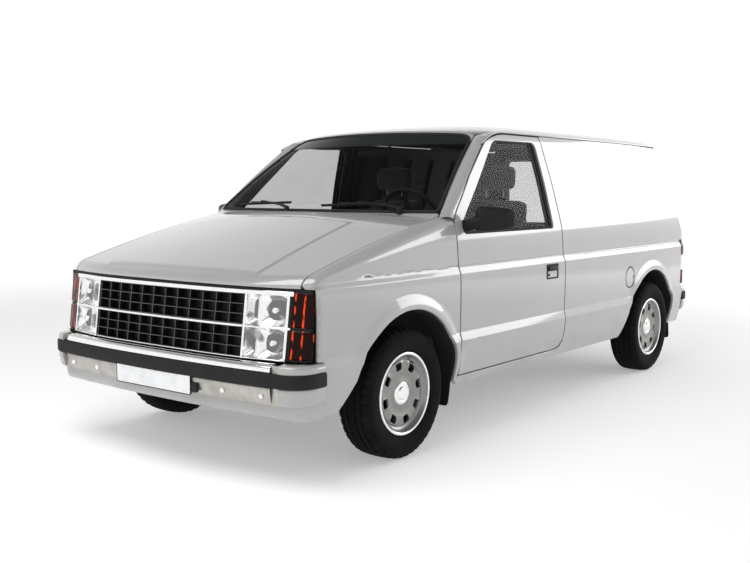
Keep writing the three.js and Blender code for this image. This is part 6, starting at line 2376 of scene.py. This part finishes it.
class VAN_OT_stage(bpy.types.Operator):
    """Floor, soft lights and camera"""

    bl_idname = "van.stage"
    bl_label = "Stage"

    def execute(self, context):
        studio, scene = context.scene.van_studio, context.scene
        mesh = bpy.data.meshes.new("studio_floor")
        mesh.from_pydata([(x * FLOOR_REACH, y * FLOOR_REACH, 0) for x, y in ((-1, -1), (1, -1), (1, 1), (-1, 1))], [],
            [(0, 1, 2, 3)])
        floor = bpy.data.objects.new("studio_floor", mesh)
        scene.collection.objects.link(floor)
        look = Finish("floor_paint")
        tone = look.mix(studio.floor_colour[:], shade(studio.floor_colour, 0.97), look.noise(0.6))
        away = look.reach(4.5, 11)
        glow = look.mix(shade((1, 1, 1), studio.floor_glow), shade((1, 1, 1), studio.far_glow), away)
        mesh.materials.append(look.done(Base_Color=tone, Roughness=0.9, Emission_Color=glow, Emission_Strength=1.0))
        scene.world = studio_sky(studio)
        for name, (size, place, aim) in LIGHTS.items():
            light = bpy.data.lights.new(f"{name}_light", "AREA")
            light.shape, light.energy = "RECTANGLE", getattr(studio, f"{name}_power")
            light.size, light.size_y = size
            holder = bpy.data.objects.new(light.name, light)
            holder.location = place
            holder.rotation_euler = (Vector(aim) - Vector(place)).to_track_quat("-Z", "Y").to_euler()
            scene.collection.objects.link(holder)
        camera = bpy.data.cameras.new("studio_camera")
        camera.lens, camera.sensor_width = studio.lens, 36
        holder = bpy.data.objects.new("studio_camera", camera)
        holder.location = CAMERA_PLACE
        holder.rotation_euler = (math.radians(90 - CAMERA_DOWN), 0, math.radians(CAMERA_ROUND))
        scene.collection.objects.link(holder)
        scene.camera = holder
        scene.view_settings.view_transform = "Standard"
        return {"FINISHED"}


PIECES = (VAN_OT_doors, VAN_OT_sides, VAN_OT_roof, VAN_OT_bonnet, VAN_OT_screen, VAN_OT_nose, VAN_OT_bumpers,
    VAN_OT_tail, VAN_OT_dashboard, VAN_OT_seats, VAN_OT_lining, VAN_OT_wheels, VAN_OT_underside, VAN_OT_stage)


class VAN_PT_tools(bpy.types.Panel):
    """The van's settings and one button for each group of pieces"""

    bl_idname = "VAN_PT_tools"
    bl_label = "Compact panel van"
    bl_space_type = "VIEW_3D"
    bl_region_type = "UI"
    bl_category = "Van"

    def draw(self, context):
        for group in (context.scene.van_looks, context.scene.van_studio):
            for name in group.__annotations__:
                self.layout.prop(group, name)
        for piece in PIECES:
            self.layout.operator(piece.bl_idname)


CLASSES = (VanLooks, VanStudio, *PIECES, VAN_PT_tools)


def register():
    for kind in CLASSES:
        bpy.utils.register_class(kind)
    bpy.types.Scene.van_looks = bpy.props.PointerProperty(type=VanLooks)
    bpy.types.Scene.van_studio = bpy.props.PointerProperty(type=VanStudio)


def unregister():
    del bpy.types.Scene.van_studio
    del bpy.types.Scene.van_looks
    for kind in reversed(CLASSES):
        bpy.utils.unregister_class(kind)


def main():
    register()
    for piece in PIECES:
        name = piece.bl_idname.split(".")[1]
        if getattr(bpy.ops.van, name)() != {"FINISHED"}:
            raise RuntimeError(f"{piece.bl_label} didn't finish")


if __name__ == "__main__":
    main()
